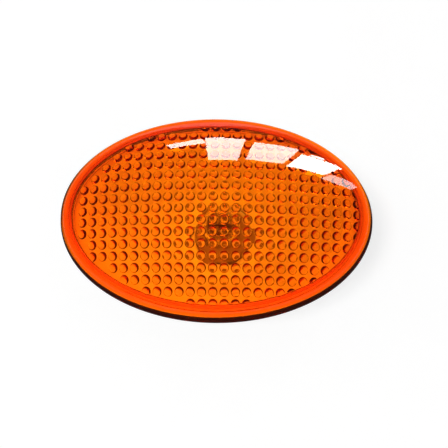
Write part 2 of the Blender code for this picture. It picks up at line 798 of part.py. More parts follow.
def latch_shape(socket_axis):
    """Return the ramp on the shroud that the plug's latch snaps over."""
    bm = bmesh.new()
    wall = SHROUD_WIDTH / 2
    outline = [
        Vector((-LATCH_WIDTH / 2, wall - SHROUD_WALL / 2, LATCH_PLACE)),
        Vector((-LATCH_WIDTH / 2, wall, LATCH_PLACE)),
        Vector((-LATCH_WIDTH / 2, wall + LATCH_HEIGHT, LATCH_PLACE + LATCH_RAMP)),
        Vector((-LATCH_WIDTH / 2, wall + LATCH_HEIGHT, LATCH_PLACE + LATCH_LENGTH)),
        Vector((-LATCH_WIDTH / 2, wall - SHROUD_WALL / 2, LATCH_PLACE + LATCH_LENGTH)),
    ]
    add_prism(bm, outline, Vector((LATCH_WIDTH, 0, 0)))
    return add_tool(bm, "latch_shape", socket_axis)


def grip_shape(socket_axis):
    """Return the finger ribs under the flange, two at each end of the shroud."""
    bm = bmesh.new()
    inner = SHROUD_LENGTH / 2 - SHROUD_WALL / 2
    outer = math.sqrt(HOLDER_FLANGE_RADIUS**2 - (GRIP_PITCH / 2 + GRIP_WIDTH) ** 2)
    for side in (-1, 1):
        for place in (-1, 1):
            low_x, high_x = sorted((side * inner, side * outer))
            middle = place * GRIP_PITCH / 2
            low = (low_x, middle - GRIP_WIDTH / 2, SHROUD_DEPTH - GRIP_DEPTH)
            high = (high_x, middle + GRIP_WIDTH / 2, SHROUD_DEPTH + HOLDER_FLANGE_THICKNESS / 2)
            add_box(bm, low, high)
    return add_tool(bm, "grip_shape", socket_axis)


def pocket_shape(socket_axis):
    """Return the pocket in the holder's neck that takes the bulb's base and the contact arms."""
    half_width, half_thickness = bulb_pocket()
    bm = bmesh.new()
    low = (-half_width, -half_thickness, HOLDER_FLANGE_TOP)
    high = (half_width, half_thickness, HOLDER_TOP_Z + HOLDER_RISE)
    add_box(bm, low, high)
    return add_tool(bm, "pocket_shape", socket_axis)


def contact_slot_shape(socket_axis):
    """Return the two slots that let the contacts through the web under the pocket."""
    bm = bmesh.new()
    for side in (-1, 1):
        middle = side * LEAD_SPACING / 2
        half_width = CONTACT_WIDTH / 2 + CONTACT_SLOT_CLEARANCE
        half_thickness = CONTACT_METAL / 2 + CONTACT_SLOT_CLEARANCE
        low = (middle - half_width, -half_thickness, PLUG_DEPTH - GAP)
        high = (middle + half_width, half_thickness, HOLDER_FLANGE_TOP + GAP)
        add_box(bm, low, high)
    return add_tool(bm, "contact_slot_shape", socket_axis)


def build_seal(material, socket_axis):
    """Build the seal ring that the holder's flange presses against the collar."""
    radius = SEAL_THICKNESS / 2
    ring_radius = HOLDER_RADIUS + GAP + radius
    middle = HOLDER_FLANGE_TOP + GAP + radius
    outlines = []
    for step in range(8):
        angle = 2 * math.pi * step / 8
        around = ring_radius + radius * math.cos(angle)
        outlines.append(ellipse(around, around, middle + radius * math.sin(angle), SOCKET_SIDES))
    bm = bmesh.new()
    loft_loop(bm, outlines)
    return finish_object(bm, "holder_seal", material, socket_axis, 60.0)


# Contacts


def contact_arm_y():
    """Return how far the inner face of a contact arm stands from the bulb's middle."""
    lead_y = lead_fold_y()
    return lead_y + LEAD_RADIUS + GAP


def lead_fold_y():
    """Return how far a folded lead wire stands from the bulb's middle."""
    return BASE_HALF_THICKNESS + GAP + LEAD_RADIUS


def build_contact(name, side, material, socket_axis):
    """Build one contact: a blade for the plug, a jog, and an arm that springs on the bulb's lead."""
    arm = contact_arm_y()
    half = CONTACT_METAL / 2
    tip = CONTACT_JOG_Z + SPRING_LENGTH
    path = [
        Vector((0, -half, BLADE_END)),
        Vector((0, -half, CONTACT_JOG_Z)),
        Vector((0, arm, CONTACT_JOG_Z)),
        Vector((0, arm, tip - 2 * CONTACT_METAL)),
        Vector((0, arm + CONTACT_METAL / 2, tip)),
    ]
    outline = offset_strip(path, -CONTACT_METAL)
    low_x = side * LEAD_SPACING / 2 - CONTACT_WIDTH / 2
    for point in outline:
        point.x = low_x
        point.y *= -side
    bm = bmesh.new()
    add_prism(bm, outline, Vector((CONTACT_WIDTH, 0, 0)))
    return finish_object(bm, name, material, socket_axis)


# Bulb


def build_bulb_glass(material, socket_axis):
    """Build the glass: flat wedge base, round body and domed top, hollow down to the lead channel."""
    base_top = BULB_BASE_Z + BASE_LENGTH
    body_low = base_top + BASE_TAPER
    tip = BULB_BASE_Z + BULB_LENGTH
    dome_low = tip - BULB_RADIUS
    outer = [
        stadium(BASE_HALF_WIDTH, BASE_HALF_THICKNESS, BULB_BASE_Z, BULB_SIDES),
        stadium(BASE_HALF_WIDTH, BASE_HALF_THICKNESS, base_top, BULB_SIDES),
        stadium(WAIST_HALF_WIDTH, WAIST_HALF_THICKNESS, base_top + WAIST_HEIGHT, BULB_SIDES),
    ]
    inner_radius = BULB_RADIUS - BULB_GLASS
    channel = (LEAD_CHANNEL_HALF_WIDTH, LEAD_CHANNEL_HALF_THICKNESS)
    waist = (WAIST_HALF_WIDTH - BULB_GLASS, WAIST_HALF_THICKNESS - BULB_GLASS)
    inner = [
        stadium(*channel, BULB_BASE_Z, BULB_SIDES),
        stadium(*channel, base_top + BULB_GLASS, BULB_SIDES),
        stadium(*waist, base_top + WAIST_HEIGHT + BULB_GLASS, BULB_SIDES),
    ]
    for radius, rings, low in ((BULB_RADIUS, outer, body_low), (inner_radius, inner, body_low + BULB_GLASS)):
        rings.append(stadium(radius, radius, low, BULB_SIDES))
        for step in range(4):
            angle = math.pi / 2 * step / 4
            level = radius * math.cos(angle)
            rings.append(stadium(level, level, dome_low + radius * math.sin(angle), BULB_SIDES))
    bm = bmesh.new()
    ends = []
    for rings, radius in ((outer, BULB_RADIUS), (inner, inner_radius)):
        loops = [add_ring(bm, outline) for outline in rings]
        for lower, upper in zip(loops, loops[1:]):
            bridge(bm, lower, upper)
        fan(bm, loops[-1], (0, 0, dome_low + radius))
        ends.append(loops[0])
    bridge(bm, ends[0], ends[1])
    return finish_object(bm, "bulb_glass", material, socket_axis, 50.0)


def filament_path():
    """Return the points of the wire from one folded lead, through the coil, to the other."""
    half = LEAD_SPACING / 2
    fold_y = lead_fold_y()
    low = BULB_BASE_Z - GAP - LEAD_RADIUS
    fold_top = BULB_BASE_Z + LEAD_FOLD_LENGTH
    coil_z = BULB_BASE_Z + FILAMENT_HEIGHT
    leads = [
        (Vector((-half, fold_y, fold_top)), 1.0),
        (Vector((-half, fold_y, low)), 1.0),
        (Vector((-half, 0, low)), 1.0),
        (Vector((-half, 0, coil_z - COIL_RADIUS)), 1.0),
        (Vector((-half + LEAD_RADIUS, 0, coil_z)), FILAMENT_THINNING),
    ]
    coil = []
    span = half - 3 * LEAD_RADIUS
    steps = COIL_TURNS * COIL_TURN_STEPS
    for step in range(steps + 1):
        share = step / steps
        angle = 2 * math.pi * COIL_TURNS * share
        sag = COIL_RADIUS * (1 - (2 * share - 1) ** 2)
        y = COIL_RADIUS * math.sin(angle)
        z = coil_z + COIL_RADIUS * (1 - math.cos(angle)) + sag
        coil.append((Vector((-span + 2 * span * share, y, z)), FILAMENT_THINNING))
    mirrored = [(Vector((-point.x, -point.y, point.z)), radius) for point, radius in reversed(leads)]
    return leads + coil + mirrored


def build_bulb_filament(material, socket_axis):
    """Build the two lead wires and the coil between them as one bent wire."""
    curve = bpy.data.curves.new("bulb_filament", "CURVE")
    curve.dimensions = "3D"
    curve.bevel_depth = LEAD_RADIUS
    curve.bevel_resolution = 1
    curve.use_fill_caps = True
    path = filament_path()
    spline = curve.splines.new("POLY")
    spline.points.add(len(path) - 1)
    for point, (place, radius) in zip(spline.points, path):
        point.co = (*place, 1.0)
        point.radius = radius
    curve.materials.append(material)
    item = bpy.data.objects.new("bulb_filament", curve)
    bpy.context.scene.collection.objects.link(item)
    item.parent = socket_axis
    return item


def main():
    """Build the whole lamp."""
    clear_scene()
    socket_axis = bpy.data.objects.new("socket_axis", None)
    bpy.context.scene.collection.objects.link(socket_axis)
    socket_axis.location = (SOCKET_X, SOCKET_Y, 0)

    build_lens(make_material("amber_lens", (0.95, 0.22, 0.005), 0.05, transmission=1.0, ior=1.58))
    build_housing(make_material("housing_plastic", (0.78, 0.77, 0.74), 0.35), socket_axis)
    build_gasket(make_material("gasket_rubber", (0.02, 0.02, 0.02), 0.85))
    build_retaining_clip(make_material("spring_steel", (0.55, 0.55, 0.56), 0.3, metallic=1.0))
    build_bulb_holder(make_material("holder_nylon", (0.025, 0.025, 0.027), 0.5), socket_axis)
    build_seal(make_material("seal_silicone", (0.35, 0.06, 0.03), 0.6), socket_axis)
    brass = make_material("contact_brass", (0.80, 0.62, 0.32), 0.3, metallic=1.0)
    build_contact("contact_left", -1, brass, socket_axis)
    build_contact("contact_right", 1, brass, socket_axis)
    build_bulb_glass(make_material("clear_glass", (0.95, 0.97, 0.97), 0.02, transmission=1.0), socket_axis)
    build_bulb_filament(make_material("lead_wire", (0.5, 0.5, 0.5), 0.35, metallic=1.0), socket_axis)


main()
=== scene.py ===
"""Looks of the oval fender turn signal lamp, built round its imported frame.

An amber dome with a field of round lenslets on its inner face covers a light
moulded bowl. A twist-lock holder with a clear wedge bulb closes the bowl from
behind, a soft gasket lies under the flange, and a hook and a leaf spring hold
the lamp in the fender. Every length is in metres, in the frame's own axes.
"""

from __future__ import annotations

import json
import logging
import math
from collections.abc import Sequence
from dataclasses import dataclass, field
from enum import Enum, IntEnum
from typing import Any

import bmesh
import bpy
import numpy as np
from mathutils import Matrix, Vector
from mathutils.geometry import delaunay_2d_cdt

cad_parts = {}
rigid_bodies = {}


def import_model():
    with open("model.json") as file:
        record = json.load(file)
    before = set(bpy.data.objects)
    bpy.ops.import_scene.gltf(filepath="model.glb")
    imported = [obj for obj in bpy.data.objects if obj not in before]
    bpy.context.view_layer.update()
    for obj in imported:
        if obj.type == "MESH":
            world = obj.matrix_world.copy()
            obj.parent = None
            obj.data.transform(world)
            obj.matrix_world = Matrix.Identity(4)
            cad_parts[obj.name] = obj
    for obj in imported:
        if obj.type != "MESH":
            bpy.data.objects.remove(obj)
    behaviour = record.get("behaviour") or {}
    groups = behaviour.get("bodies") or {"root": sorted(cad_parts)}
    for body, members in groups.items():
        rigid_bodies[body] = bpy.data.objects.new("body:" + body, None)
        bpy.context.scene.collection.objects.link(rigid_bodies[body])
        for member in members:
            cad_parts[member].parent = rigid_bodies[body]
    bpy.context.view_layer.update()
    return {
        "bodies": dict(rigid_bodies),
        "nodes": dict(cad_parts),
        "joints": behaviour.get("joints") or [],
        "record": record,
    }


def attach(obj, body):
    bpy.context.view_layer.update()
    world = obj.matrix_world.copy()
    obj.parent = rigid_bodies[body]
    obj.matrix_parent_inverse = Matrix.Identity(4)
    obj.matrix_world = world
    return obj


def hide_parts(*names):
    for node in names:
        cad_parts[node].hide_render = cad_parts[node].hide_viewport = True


LOG = logging.getLogger("turn_signal_lamp")
BODY = "root"
# Name of the mesh attribute that marks where shade is painted on the lenslets' flanks.
FLANK_SHADE = "flank"

# An angle in degrees that no edge passes, so that a whole piece is shaded smooth.
ALL_SMOOTH = 180.0
# The distance in metres and the angle in degrees under which points and faces of a copied node become one.
LOOSE_GAP = 2e-6
FLAT_ANGLE = 1.5
# The largest share of a side that a rounded corner takes up.
CORNER_LIMIT = 0.45

Color = tuple[float, float, float]
Place = tuple[float, float, float]
WHITE: Color = (1.0, 1.0, 1.0)


class End(IntEnum):
    """An end of the lamp, as the sign of its X."""

    HOOK = -1
    SPRING = 1


@dataclass(frozen=True)
class LampSizes:
    """Sizes that more than one piece of the lamp works from."""

    half_length: float = 0.0410
    half_width: float = 0.0271
    rim_z: float = 0.0340
    skirt_height: float = 0.0058
    skirt_flare: float = 0.0018
    foot_wall: float = 0.0020
    lens_wall: float = 0.0022
    inner_flare: float = 0.0010
    gap: float = 0.0003
    flange_top_z: float = 0.0337
    flange_back_z: float = 0.0319
    floor_z: float = 0.0140
    collar_back_z: float = 0.0110
    collar_radius: float = 0.0115
    socket_radius: float = 0.0084
    socket_x: float = 0.0014
    socket_y: float = -0.0015

    @property
    def shoulder_z(self) -> float:
        """Height at which the skirt meets the dome."""
        return self.rim_z + self.skirt_height


SIZES = LampSizes()


# Meshes


class MeshDraft:
    """Points and faces of one piece, gathered as whole arrays before they become a mesh."""

    def __init__(self) -> None:
        """Start with no points and no faces."""
        self.points: list[np.ndarray] = []
        self.faces: list[np.ndarray] = []
        self.count = 0

    def add(self, points: np.ndarray) -> np.ndarray:
        """Add points and number them.

        Args:
            points: Coordinates in an array of any shape whose last axis is x, y, z.

        Returns:
            The points' numbers, in the same shape without the last axis.
        """
        flat = points.reshape(-1, 3)
        numbers = np.arange(self.count, self.count + len(flat)).reshape(points.shape[:-1])
        self.points.append(flat)
        self.count += len(flat)
        return numbers

    def skin(self, grid: np.ndarray, around: bool = True, along: bool = False) -> None:
        """Cover a grid of point numbers with quads.

        Args:
            grid: Point numbers, one ring of the surface in each row.
            around: Whether each ring closes on itself.
            along: Whether the last ring meets the first.
        """
        rows = np.concatenate([grid, grid[:1]]) if along else grid
        both = np.concatenate([rows, rows[:, :1]], axis=1) if around else rows
        corners = [both[:-1, :-1], both[:-1, 1:], both[1:, 1:], both[1:, :-1]]
        self.faces.append(np.stack(corners, axis=-1).reshape(-1, 4))

    def close(self, ring: np.ndarray, tip: Sequence[float]) -> None:
        """Close a ring of point numbers with triangles that meet in one new point."""
        pole = self.add(np.array([tip], dtype=float))[0]
        self.faces.append(np.stack([ring, np.roll(ring, -1), np.full(len(ring), pole)], axis=1))

    def join_ends(self, ends: np.ndarray) -> None:
        """Join two closed outlines with a band of faces and cap them both.

        Args:
            ends: Both outlines, with the same number of points.
        """
        grid = self.add(ends)
        self.skin(grid)
        self.faces += [grid[:1], grid[1:]]

    def prism(self, outline: np.ndarray, run: Sequence[float]) -> None:
        """Extrude a flat closed outline of points along a vector and cap both ends."""
        self.join_ends(np.stack([outline, outline + np.asarray(run)]))

    def to_object(self, name: str, sharp_angle: float = ALL_SMOOTH) -> bpy.types.Object:
        """Turn the draft into an object at the origin, with its faces pointing out.

        Args:
            name: Name of the object and its mesh.
            sharp_angle: Angle in degrees above which an edge keeps a hard shade.

        Returns:
            The object, linked to the scene.
        """
        mesh = bpy.data.meshes.new(name)
        points = np.concatenate(self.points)
        loops = np.concatenate([face.ravel() for face in self.faces])
        lengths = np.concatenate([np.full(len(face), face.shape[1]) for face in self.faces])
        mesh.vertices.add(len(points))
        mesh.vertices.foreach_set("co", points.astype(np.float32).ravel())
        mesh.loops.add(len(loops))
        mesh.loops.foreach_set("vertex_index", loops.astype(np.int32))
        mesh.polygons.add(len(lengths))
        mesh.polygons.foreach_set("loop_start", (np.cumsum(lengths) - lengths).astype(np.int32))
        mesh.update(calc_edges=True)
        face_outwards(mesh)
        mesh.shade_smooth()
        if sharp_angle < ALL_SMOOTH:
            mesh.set_sharp_from_angle(angle=math.radians(sharp_angle))
        return link_object(name, mesh)


def link_object(name: str, data: bpy.types.ID) -> bpy.types.Object:
    """Make an object and link it to the scene.

    Args:
        name: Its name.
        data: Its mesh, curve, lamp or camera.

    Returns:
        The object, at the origin.
    """
    item = bpy.data.objects.new(name, data)
    bpy.context.scene.collection.objects.link(item)
    return item


def face_outwards(mesh: bpy.types.Mesh, merge: float = 0.0, flatten: float = 0.0) -> None:
    """Turn a closed mesh's faces outwards.

    Args:
        mesh: The mesh to change.
        merge: Distance under which points become one first, or 0.
        flatten: Angle in degrees under which neighbouring faces become one first, or 0.
    """
    bm = bmesh.new()
    bm.from_mesh(mesh)
    if merge:
        bmesh.ops.remove_doubles(bm, verts=bm.verts, dist=merge)
    if flatten:
        limit = math.radians(flatten)
        bmesh.ops.dissolve_limit(bm, angle_limit=limit, verts=bm.verts, edges=bm.edges, delimit={"NORMAL"})
    bmesh.ops.recalc_face_normals(bm, faces=bm.faces)
    bm.to_mesh(mesh)
    bm.free()


def level_rings(rows: np.ndarray, sides: int) -> np.ndarray:
    """Return level ellipses: x = cx + hx cos a, y = cy + hy sin a, with one z for each ring.

    Args:
        rows: One ring in each row, as half length, half width, middle x, middle y, height.
        sides: Points in each ring.

    Returns:
        Points in an array of rings by sides by 3.
    """
    angle = 2 * math.pi * np.arange(sides) / sides
    x = rows[:, 2:3] + rows[:, 0:1] * np.cos(angle)
    y = rows[:, 3:4] + rows[:, 1:2] * np.sin(angle)
    return np.stack([x, y, np.broadcast_to(rows[:, 4:5], x.shape)], axis=-1)


def oval_rows(*places: tuple[float, float]) -> np.ndarray:
    """Return the lamp's oval at pairs of inset and height, as rows for level_rings."""
    half = (SIZES.half_length, SIZES.half_width)
    return np.array([(half[0] - inset, half[1] - inset, 0.0, 0.0, height) for inset, height in places])


def socket_rows(*places: tuple[float, float]) -> np.ndarray:
    """Return circles round the socket's axis at pairs of radius and height, as rows for level_rings."""
    return np.array([(radius, radius, SIZES.socket_x, SIZES.socket_y, height) for radius, height in places])


def bend(start: np.ndarray, corner: np.ndarray, end: np.ndarray, spans: int) -> np.ndarray:
    """Follow the curve (1-t)^2 a + 2t(1-t) c + t^2 b.

    Args:
        start: The a, a row or a ring.
        corner: The c, which draws the curve towards itself.
        end: The b.
        spans: Spans of the curve.

    Returns:
        The rows or rings along it, both ends with them.
    """
    share = np.linspace(0.0, 1.0, spans + 1).reshape(-1, *[1] * start.ndim)
    return (1 - share) ** 2 * start + 2 * share * (1 - share) * corner + share**2 * end


def round_corners(rows: np.ndarray, radii: Sequence[float], steps: int = 4) -> np.ndarray:
    """Round the corners of a closed profile.

    Each corner with a radius gives way to a bend between the points that lie one
    radius before and behind it, or less where a side is short.

    Args:
        rows: Rows for level_rings, in order along the profile.
        radii: Radius at each row, or 0 to keep the row.
        steps: Spans of each curve.

    Returns:
        The rows of the rounded profile.
    """
    parts = []
    for index, radius in enumerate(radii):
        corner = rows[index]
        if radius == 0:
            parts.append(corner[None])
            continue
        back = rows[index - 1] - corner
        ahead = rows[(index + 1) % len(rows)] - corner
        start = corner + back * min(CORNER_LIMIT, radius / math.hypot(back[0], back[4]))
        end = corner + ahead * min(CORNER_LIMIT, radius / math.hypot(ahead[0], ahead[4]))
        parts.append(bend(start, corner, end, steps))
    return np.concatenate(parts)


def add_bevel(item: bpy.types.Object, width: float, segments: int = 2, angle: float = 32.0) -> None:
    """Round the hard edges of a piece with a Bevel modifier.

    Args:
        item: The piece.
        width: Width of the bevel in metres.
        segments: Spans across the bevel.
        angle: Angle in degrees above which an edge is rounded.
    """
    bevel = item.modifiers.new("rounded_edges", "BEVEL")
    bevel.width = width
    bevel.segments = segments
    bevel.limit_method = "ANGLE"
    bevel.angle_limit = math.radians(angle)
    bevel.harden_normals = True


def refined_copy(frame: dict[str, Any], node: str, name: str, bevel: float) -> bpy.types.Object:
    """Copy a CAD node, join its loose faces, and round its edges.

    Args:
        node: Name of the CAD node.
        name: Name of the new piece.
        bevel: Width of the rounded edges in metres.

    Returns:
        The new piece.
    """
    mesh = frame["nodes"][node].data.copy()
    mesh.name = name
    mesh.materials.clear()
    face_outwards(mesh, merge=LOOSE_GAP, flatten=FLAT_ANGLE)
    mesh.shade_smooth()
    item = link_object(name, mesh)
    add_bevel(item, bevel)
    return item


# Materials


class Ray(Enum):
    """A kind of ray that a shader may answer in its own way."""

    CAMERA = "Is Camera Ray"
    SHADOW = "Is Shadow Ray"
    DIFFUSE = "Is Diffuse Ray"
    GLOSSY = "Is Glossy Ray"
    TRANSMISSION = "Is Transmission Ray"


@dataclass(frozen=True)
class Grain:
    """A noise of one finish.

    The size is that of its lumps in metres, detail counts the finer octaves and
    roughness is their share. A stretch above 1 shortens the lumps along its axis.
    Where limits are given, the noise rises smoothly from 0 to 1 between them.
    """

    size: float
    detail: float
    roughness: float
    stretch: Color = (1.0, 1.0, 1.0)
    limits: tuple[float, float] | None = None


class Socket:
    """A shader socket that Python arithmetic works on, adding a Math node for each operation."""

    def __init__(self, paint: Paint, socket: bpy.types.NodeSocket) -> None:
        """Wrap an output socket of the tree that paint fills."""
        self.paint = paint
        self.socket = socket

    def math(self, operation: str, *others: Socket | float, swap: bool = False) -> Socket:
        """Join this value with others by a Math node.

        Args:
            operation: The node's operation.
            *others: The other values.
            swap: Whether this value comes last.

        Returns:
            The node's value.
        """
        values = [self, *others]
        if swap:
            values.reverse()
        return self.paint.node("ShaderNodeMath", {"operation": operation}, dict(enumerate(values)))

    def __add__(self, other: Socket | float) -> Socket:
        """Return the sum."""
        return self.math("ADD", other)

    def __radd__(self, other: float) -> Socket:
        """Return the sum."""
        return self.math("ADD", other)

    def __sub__(self, other: Socket | float) -> Socket:
        """Return the difference."""
        return self.math("SUBTRACT", other)

    def __rsub__(self, other: float) -> Socket:
        """Return a number less this value."""
        return self.math("SUBTRACT", other, swap=True)

    def __mul__(self, other: Socket | float) -> Socket:
        """Return the product."""
        return self.math("MULTIPLY", other)

    def __rmul__(self, other: float) -> Socket:
        """Return the product."""
        return self.math("MULTIPLY", other)

    def clamp(self, low: float, high: float) -> Socket:
        """Return the value held between two limits."""
        return self.math("MAXIMUM", low).math("MINIMUM", high)

    def step(self, low: float, high: float) -> Socket:
        """Raise the value smoothly from 0 to 1 between two limits.

        Args:
            low: The limit below which the result is 0.
            high: The limit above which it is 1.

        Returns:
            The stepped value.
        """
        settings = {"interpolation_type": "SMOOTHSTEP"}
        sockets = {"Value": self, "From Min": low, "From Max": high}
        return self.paint.node("ShaderNodeMapRange", settings, sockets)


class Paint:
    """Builds the node tree of one material or of the world."""

    def __init__(self, name: str) -> None:
        """Start a material whose tree holds only its output.

        Args:
            name: Name of the material.
        """
        self.material = bpy.data.materials.new(name)
        self.material.use_nodes = True
        self.tree = self.material.node_tree
        self.tree.nodes.clear()
        self.output = self.tree.nodes.new("ShaderNodeOutputMaterial")

    @classmethod
    def of_world(cls, world: bpy.types.World) -> Paint:
        """Start on a world's tree, which then holds only its output.

        Args:
            world: The world, with its nodes in use.

        Returns:
            The builder.
        """
        paint = cls.__new__(cls)
        paint.tree = world.node_tree
        paint.tree.nodes.clear()
        paint.output = paint.tree.nodes.new("ShaderNodeOutputWorld")
        return paint

    def node(
        self,
        kind: str,
        settings: dict[str, Any] | None = None,
        sockets: dict[str | int, Any] | None = None,
        out: str | int = 0,
    ) -> Socket:
        """Add a node.

        Args:
            kind: The node's type name.
            settings: Its settings, set before its sockets.
            sockets: Values or links of its inputs, by name or number.
            out: The output that is wanted, by name or number.

        Returns:
            That output, wrapped.
        """
        node = self.tree.nodes.new(kind)
        for key, value in (settings or {}).items():
            setattr(node, key, value)
        for key, value in (sockets or {}).items():
            self.feed(node.inputs[key], value)
        return Socket(self, node.outputs[out])

    def feed(self, target: bpy.types.NodeSocket, value: Any) -> None:
        """Link an input to a wrapped socket, or set its value.

        Args:
            target: The input.
            value: A wrapped socket, a number, a vector, or a colour without its alpha.
        """
        if isinstance(value, Socket):
            self.tree.links.new(value.socket, target)
        elif isinstance(value, tuple) and len(value) == 3 and target.type == "RGBA":
            target.default_value = (*value, 1.0)
        else:
            target.default_value = value

    def place(self, stretch: Color = (1.0, 1.0, 1.0)) -> Socket:
        """Return Object coordinates in metres, stretched by a Mapping node."""
        coordinates = self.node("ShaderNodeTexCoord", out="Object")
        return self.node("ShaderNodeMapping", None, {"Vector": coordinates, "Scale": stretch})

    def noise(self, grain: Grain) -> Socket:
        """Add a noise over the Object coordinates.

        Args:
            grain: The noise's sizes.

        Returns:
            Its value from about 0 to 1, with a mean near 0.5 where it has no limits.
        """
        sockets = {"Vector": self.place(grain.stretch), "Scale": 1 / grain.size}
        sockets |= {"Detail": grain.detail, "Roughness": grain.roughness}
        noise = self.node("ShaderNodeTexNoise", {"noise_dimensions": "3D"}, sockets)
        return noise.step(*grain.limits) if grain.limits else noise

    def mix(self, factor: Socket | float, first: Any, second: Any) -> Socket:
        """Return two colours mixed: the first where the factor is 0, the second where it is 1."""
        return self.node("ShaderNodeMix", {"data_type": "RGBA"}, {0: factor, 6: first, 7: second}, 2)

    def mix_shader(self, factor: Socket, first: Socket, second: Socket) -> Socket:
        """Return two shaders mixed: the first where the factor is 0, the second where it is 1."""
        return self.node("ShaderNodeMixShader", None, {0: factor, 1: first, 2: second})

    def by_ray(self, usual: Socket, answers: dict[Ray, Socket]) -> Socket:
        """Let the kind of ray choose the shader.

        Args:
            usual: The shader that all other rays meet.
            answers: The shader that each kind of ray meets, where a later kind wins.

        Returns:
            The shader that does so.
        """
        result = usual
        for ray, shader in answers.items():
            result = self.mix_shader(self.node("ShaderNodeLightPath", out=ray.value), result, shader)
        return result

    def bump(self, height: Socket, depth: float) -> Socket:
        """Return a normal bent by a height from 0 to 1 that stands for a depth in metres."""
        return self.node("ShaderNodeBump", None, {"Height": height, "Distance": depth, "Strength": 1.0})

    def principled(self, **sockets: Any) -> Socket:
        """Return a Principled shader. Underscores in the names stand for spaces."""
        named = {key.replace("_", " "): value for key, value in sockets.items()}
        return self.node("ShaderNodeBsdfPrincipled", None, named)

    def glow(self, kind: str, strength: float, color: Color = WHITE) -> Socket:
        """Return a shader of a kind that gives off light of one colour and strength."""
        return self.node(kind, None, {"Color": color, "Strength": strength})

    def let_lamps_through(self, glass: Socket) -> Socket:
        """Return glass that shadow rays and diffuse rays cross unbent, so that what it covers is lit."""
        clear = self.node("ShaderNodeBsdfTransparent", None, {"Color": WHITE})
        return self.by_ray(glass, {Ray.SHADOW: clear, Ray.DIFFUSE: clear})

    def finish(self, surface: Socket, volume: Socket | None = None) -> bpy.types.Material:
        """Link the shaders to the output.

        Args:
            surface: The surface's shader.
            volume: The shader of what the surface encloses, if any.

        Returns:
            The material.
        """
        self.feed(self.output.inputs["Surface"], surface)
        if volume is not None:
            self.feed(self.output.inputs["Volume"], volume)
        return self.material


@dataclass(frozen=True)
class AmberFinish:
    """Clear amber moulding: dyed right through, polished outside, with faint flow waves and dust.

    The lenslets' steep flanks that face the lens's middle, which an attribute of the mesh marks, carry a
    painted dark red shade.
    """

    name: str = "amber_lens"
    tint: Color = (1.0, 0.86, 0.70)
    tint_deep: Color = (1.0, 0.80, 0.62)
    # Dark red shade painted on the lenslets' flanks that face the lens's middle.
    painted_flank_shade: Color = (0.42, 0.008, 0.002)
    pass_red: float = 0.965
    pass_green: float = 0.50
    pass_blue: float = 0.03
    headroom: float = 1.05
    ior: float = 1.49
    roughness: float = 0.015
    dust_roughness: float = 0.05
    flow: Grain = Grain(0.011, 2.0, 0.4, (1.0, 1.6, 1.0))
    dust: Grain = Grain(0.0009, 4.0, 0.7, limits=(0.56, 0.78))
    waves: Grain = Grain(0.006, 1.0, 0.3)
    wave_depth: float = 0.00003

    def material(self) -> bpy.types.Material:
        """Build the finish.

        What each colour keeps on a way w is exp(-s w), where s follows from its
        pass of one wall. The dye absorbs 1 - s / density of each colour, so the
        density has some headroom above the largest s.

        Returns:
            The material.
        """
        paint = Paint(self.name)
        passed = (self.pass_red, self.pass_green, self.pass_blue)
        loss = [-math.log(share) / SIZES.lens_wall for share in passed]
        density = self.headroom * max(loss)
        kept = tuple(1 - each / density for each in loss)
        flow = paint.noise(self.flow)
        dust = paint.noise(self.dust)
        waves = paint.noise(self.waves)
        # Where shade is painted on the lenslets' flanks, read from the mesh attribute.
        flank = paint.node("ShaderNodeAttribute", {"attribute_name": FLANK_SHADE}, None, "Fac")
        glass = paint.principled(
            Base_Color=paint.mix(flank, paint.mix(flow, self.tint, self.tint_deep), self.painted_flank_shade),
            Roughness=self.roughness + dust * self.dust_roughness,
            IOR=self.ior,
            Transmission_Weight=1.0,
            Normal=paint.bump(waves, self.wave_depth),
        )
        volume = paint.node("ShaderNodeVolumeAbsorption", None, {"Color": kept, "Density": density})
        return paint.finish(paint.let_lamps_through(glass), volume)


@dataclass(frozen=True)
class MouldedFinish:
    """Light moulded plastic with a fine spark-eroded grain and faint flow shades."""

    name: str = "housing_plastic"
    color: Color = (0.80, 0.79, 0.76)
    shade: Color = (0.70, 0.69, 0.66)
    ior: float = 1.52
    roughness: float = 0.34
    speck_roughness: float = 0.16
    flow: Grain = Grain(0.009, 4.0, 0.55, (1.0, 1.0, 0.5))
    flow_share: float = 0.8
    specks: Grain = Grain(0.0006, 3.0, 0.6)
    speck_share: float = 0.3
    skin: Grain = Grain(0.00022, 2.0, 0.6)
    skin_depth: float = 0.000012

    def material(self) -> bpy.types.Material:
        """Build the finish.

        Returns:
            The material.
        """
        paint = Paint(self.name)
        flow = paint.noise(self.flow)
        specks = paint.noise(self.specks)
        skin = paint.noise(self.skin)
        shading = (flow * self.flow_share + specks * self.speck_share).clamp(0.0, 1.0)
        shell = paint.principled(
            Base_Color=paint.mix(shading, self.color, self.shade),
            Roughness=self.roughness + specks * self.speck_roughness,
            Normal=paint.bump(skin, self.skin_depth),
            IOR=self.ior,
        )
        return paint.finish(shell)


@dataclass(frozen=True)
class RubberFinish:
    """Soft moulded rubber, matt, with a fine skin and pale bloom."""

    name: str = "gasket_rubber"
    color: Color = (0.018, 0.018, 0.019)
    bloom: Color = (0.055, 0.054, 0.052)
    roughness: float = 0.72
    bloom_roughness: float = 0.15
    cloud: Grain = Grain(0.005, 5.0, 0.6, limits=(0.42, 0.75))
    skin: Grain = Grain(0.00016, 2.0, 0.5)
    skin_depth: float = 0.00001

    def material(self) -> bpy.types.Material:
        """Build the finish.

        Returns:
            The material.
        """
        paint = Paint(self.name)
        cloud = paint.noise(self.cloud)
        skin = paint.noise(self.skin)
        rubber = paint.principled(
            Base_Color=paint.mix(cloud, self.color, self.bloom),
            Roughness=self.roughness + cloud * self.bloom_roughness,
            Normal=paint.bump(skin, self.skin_depth),
        )
        return paint.finish(rubber)


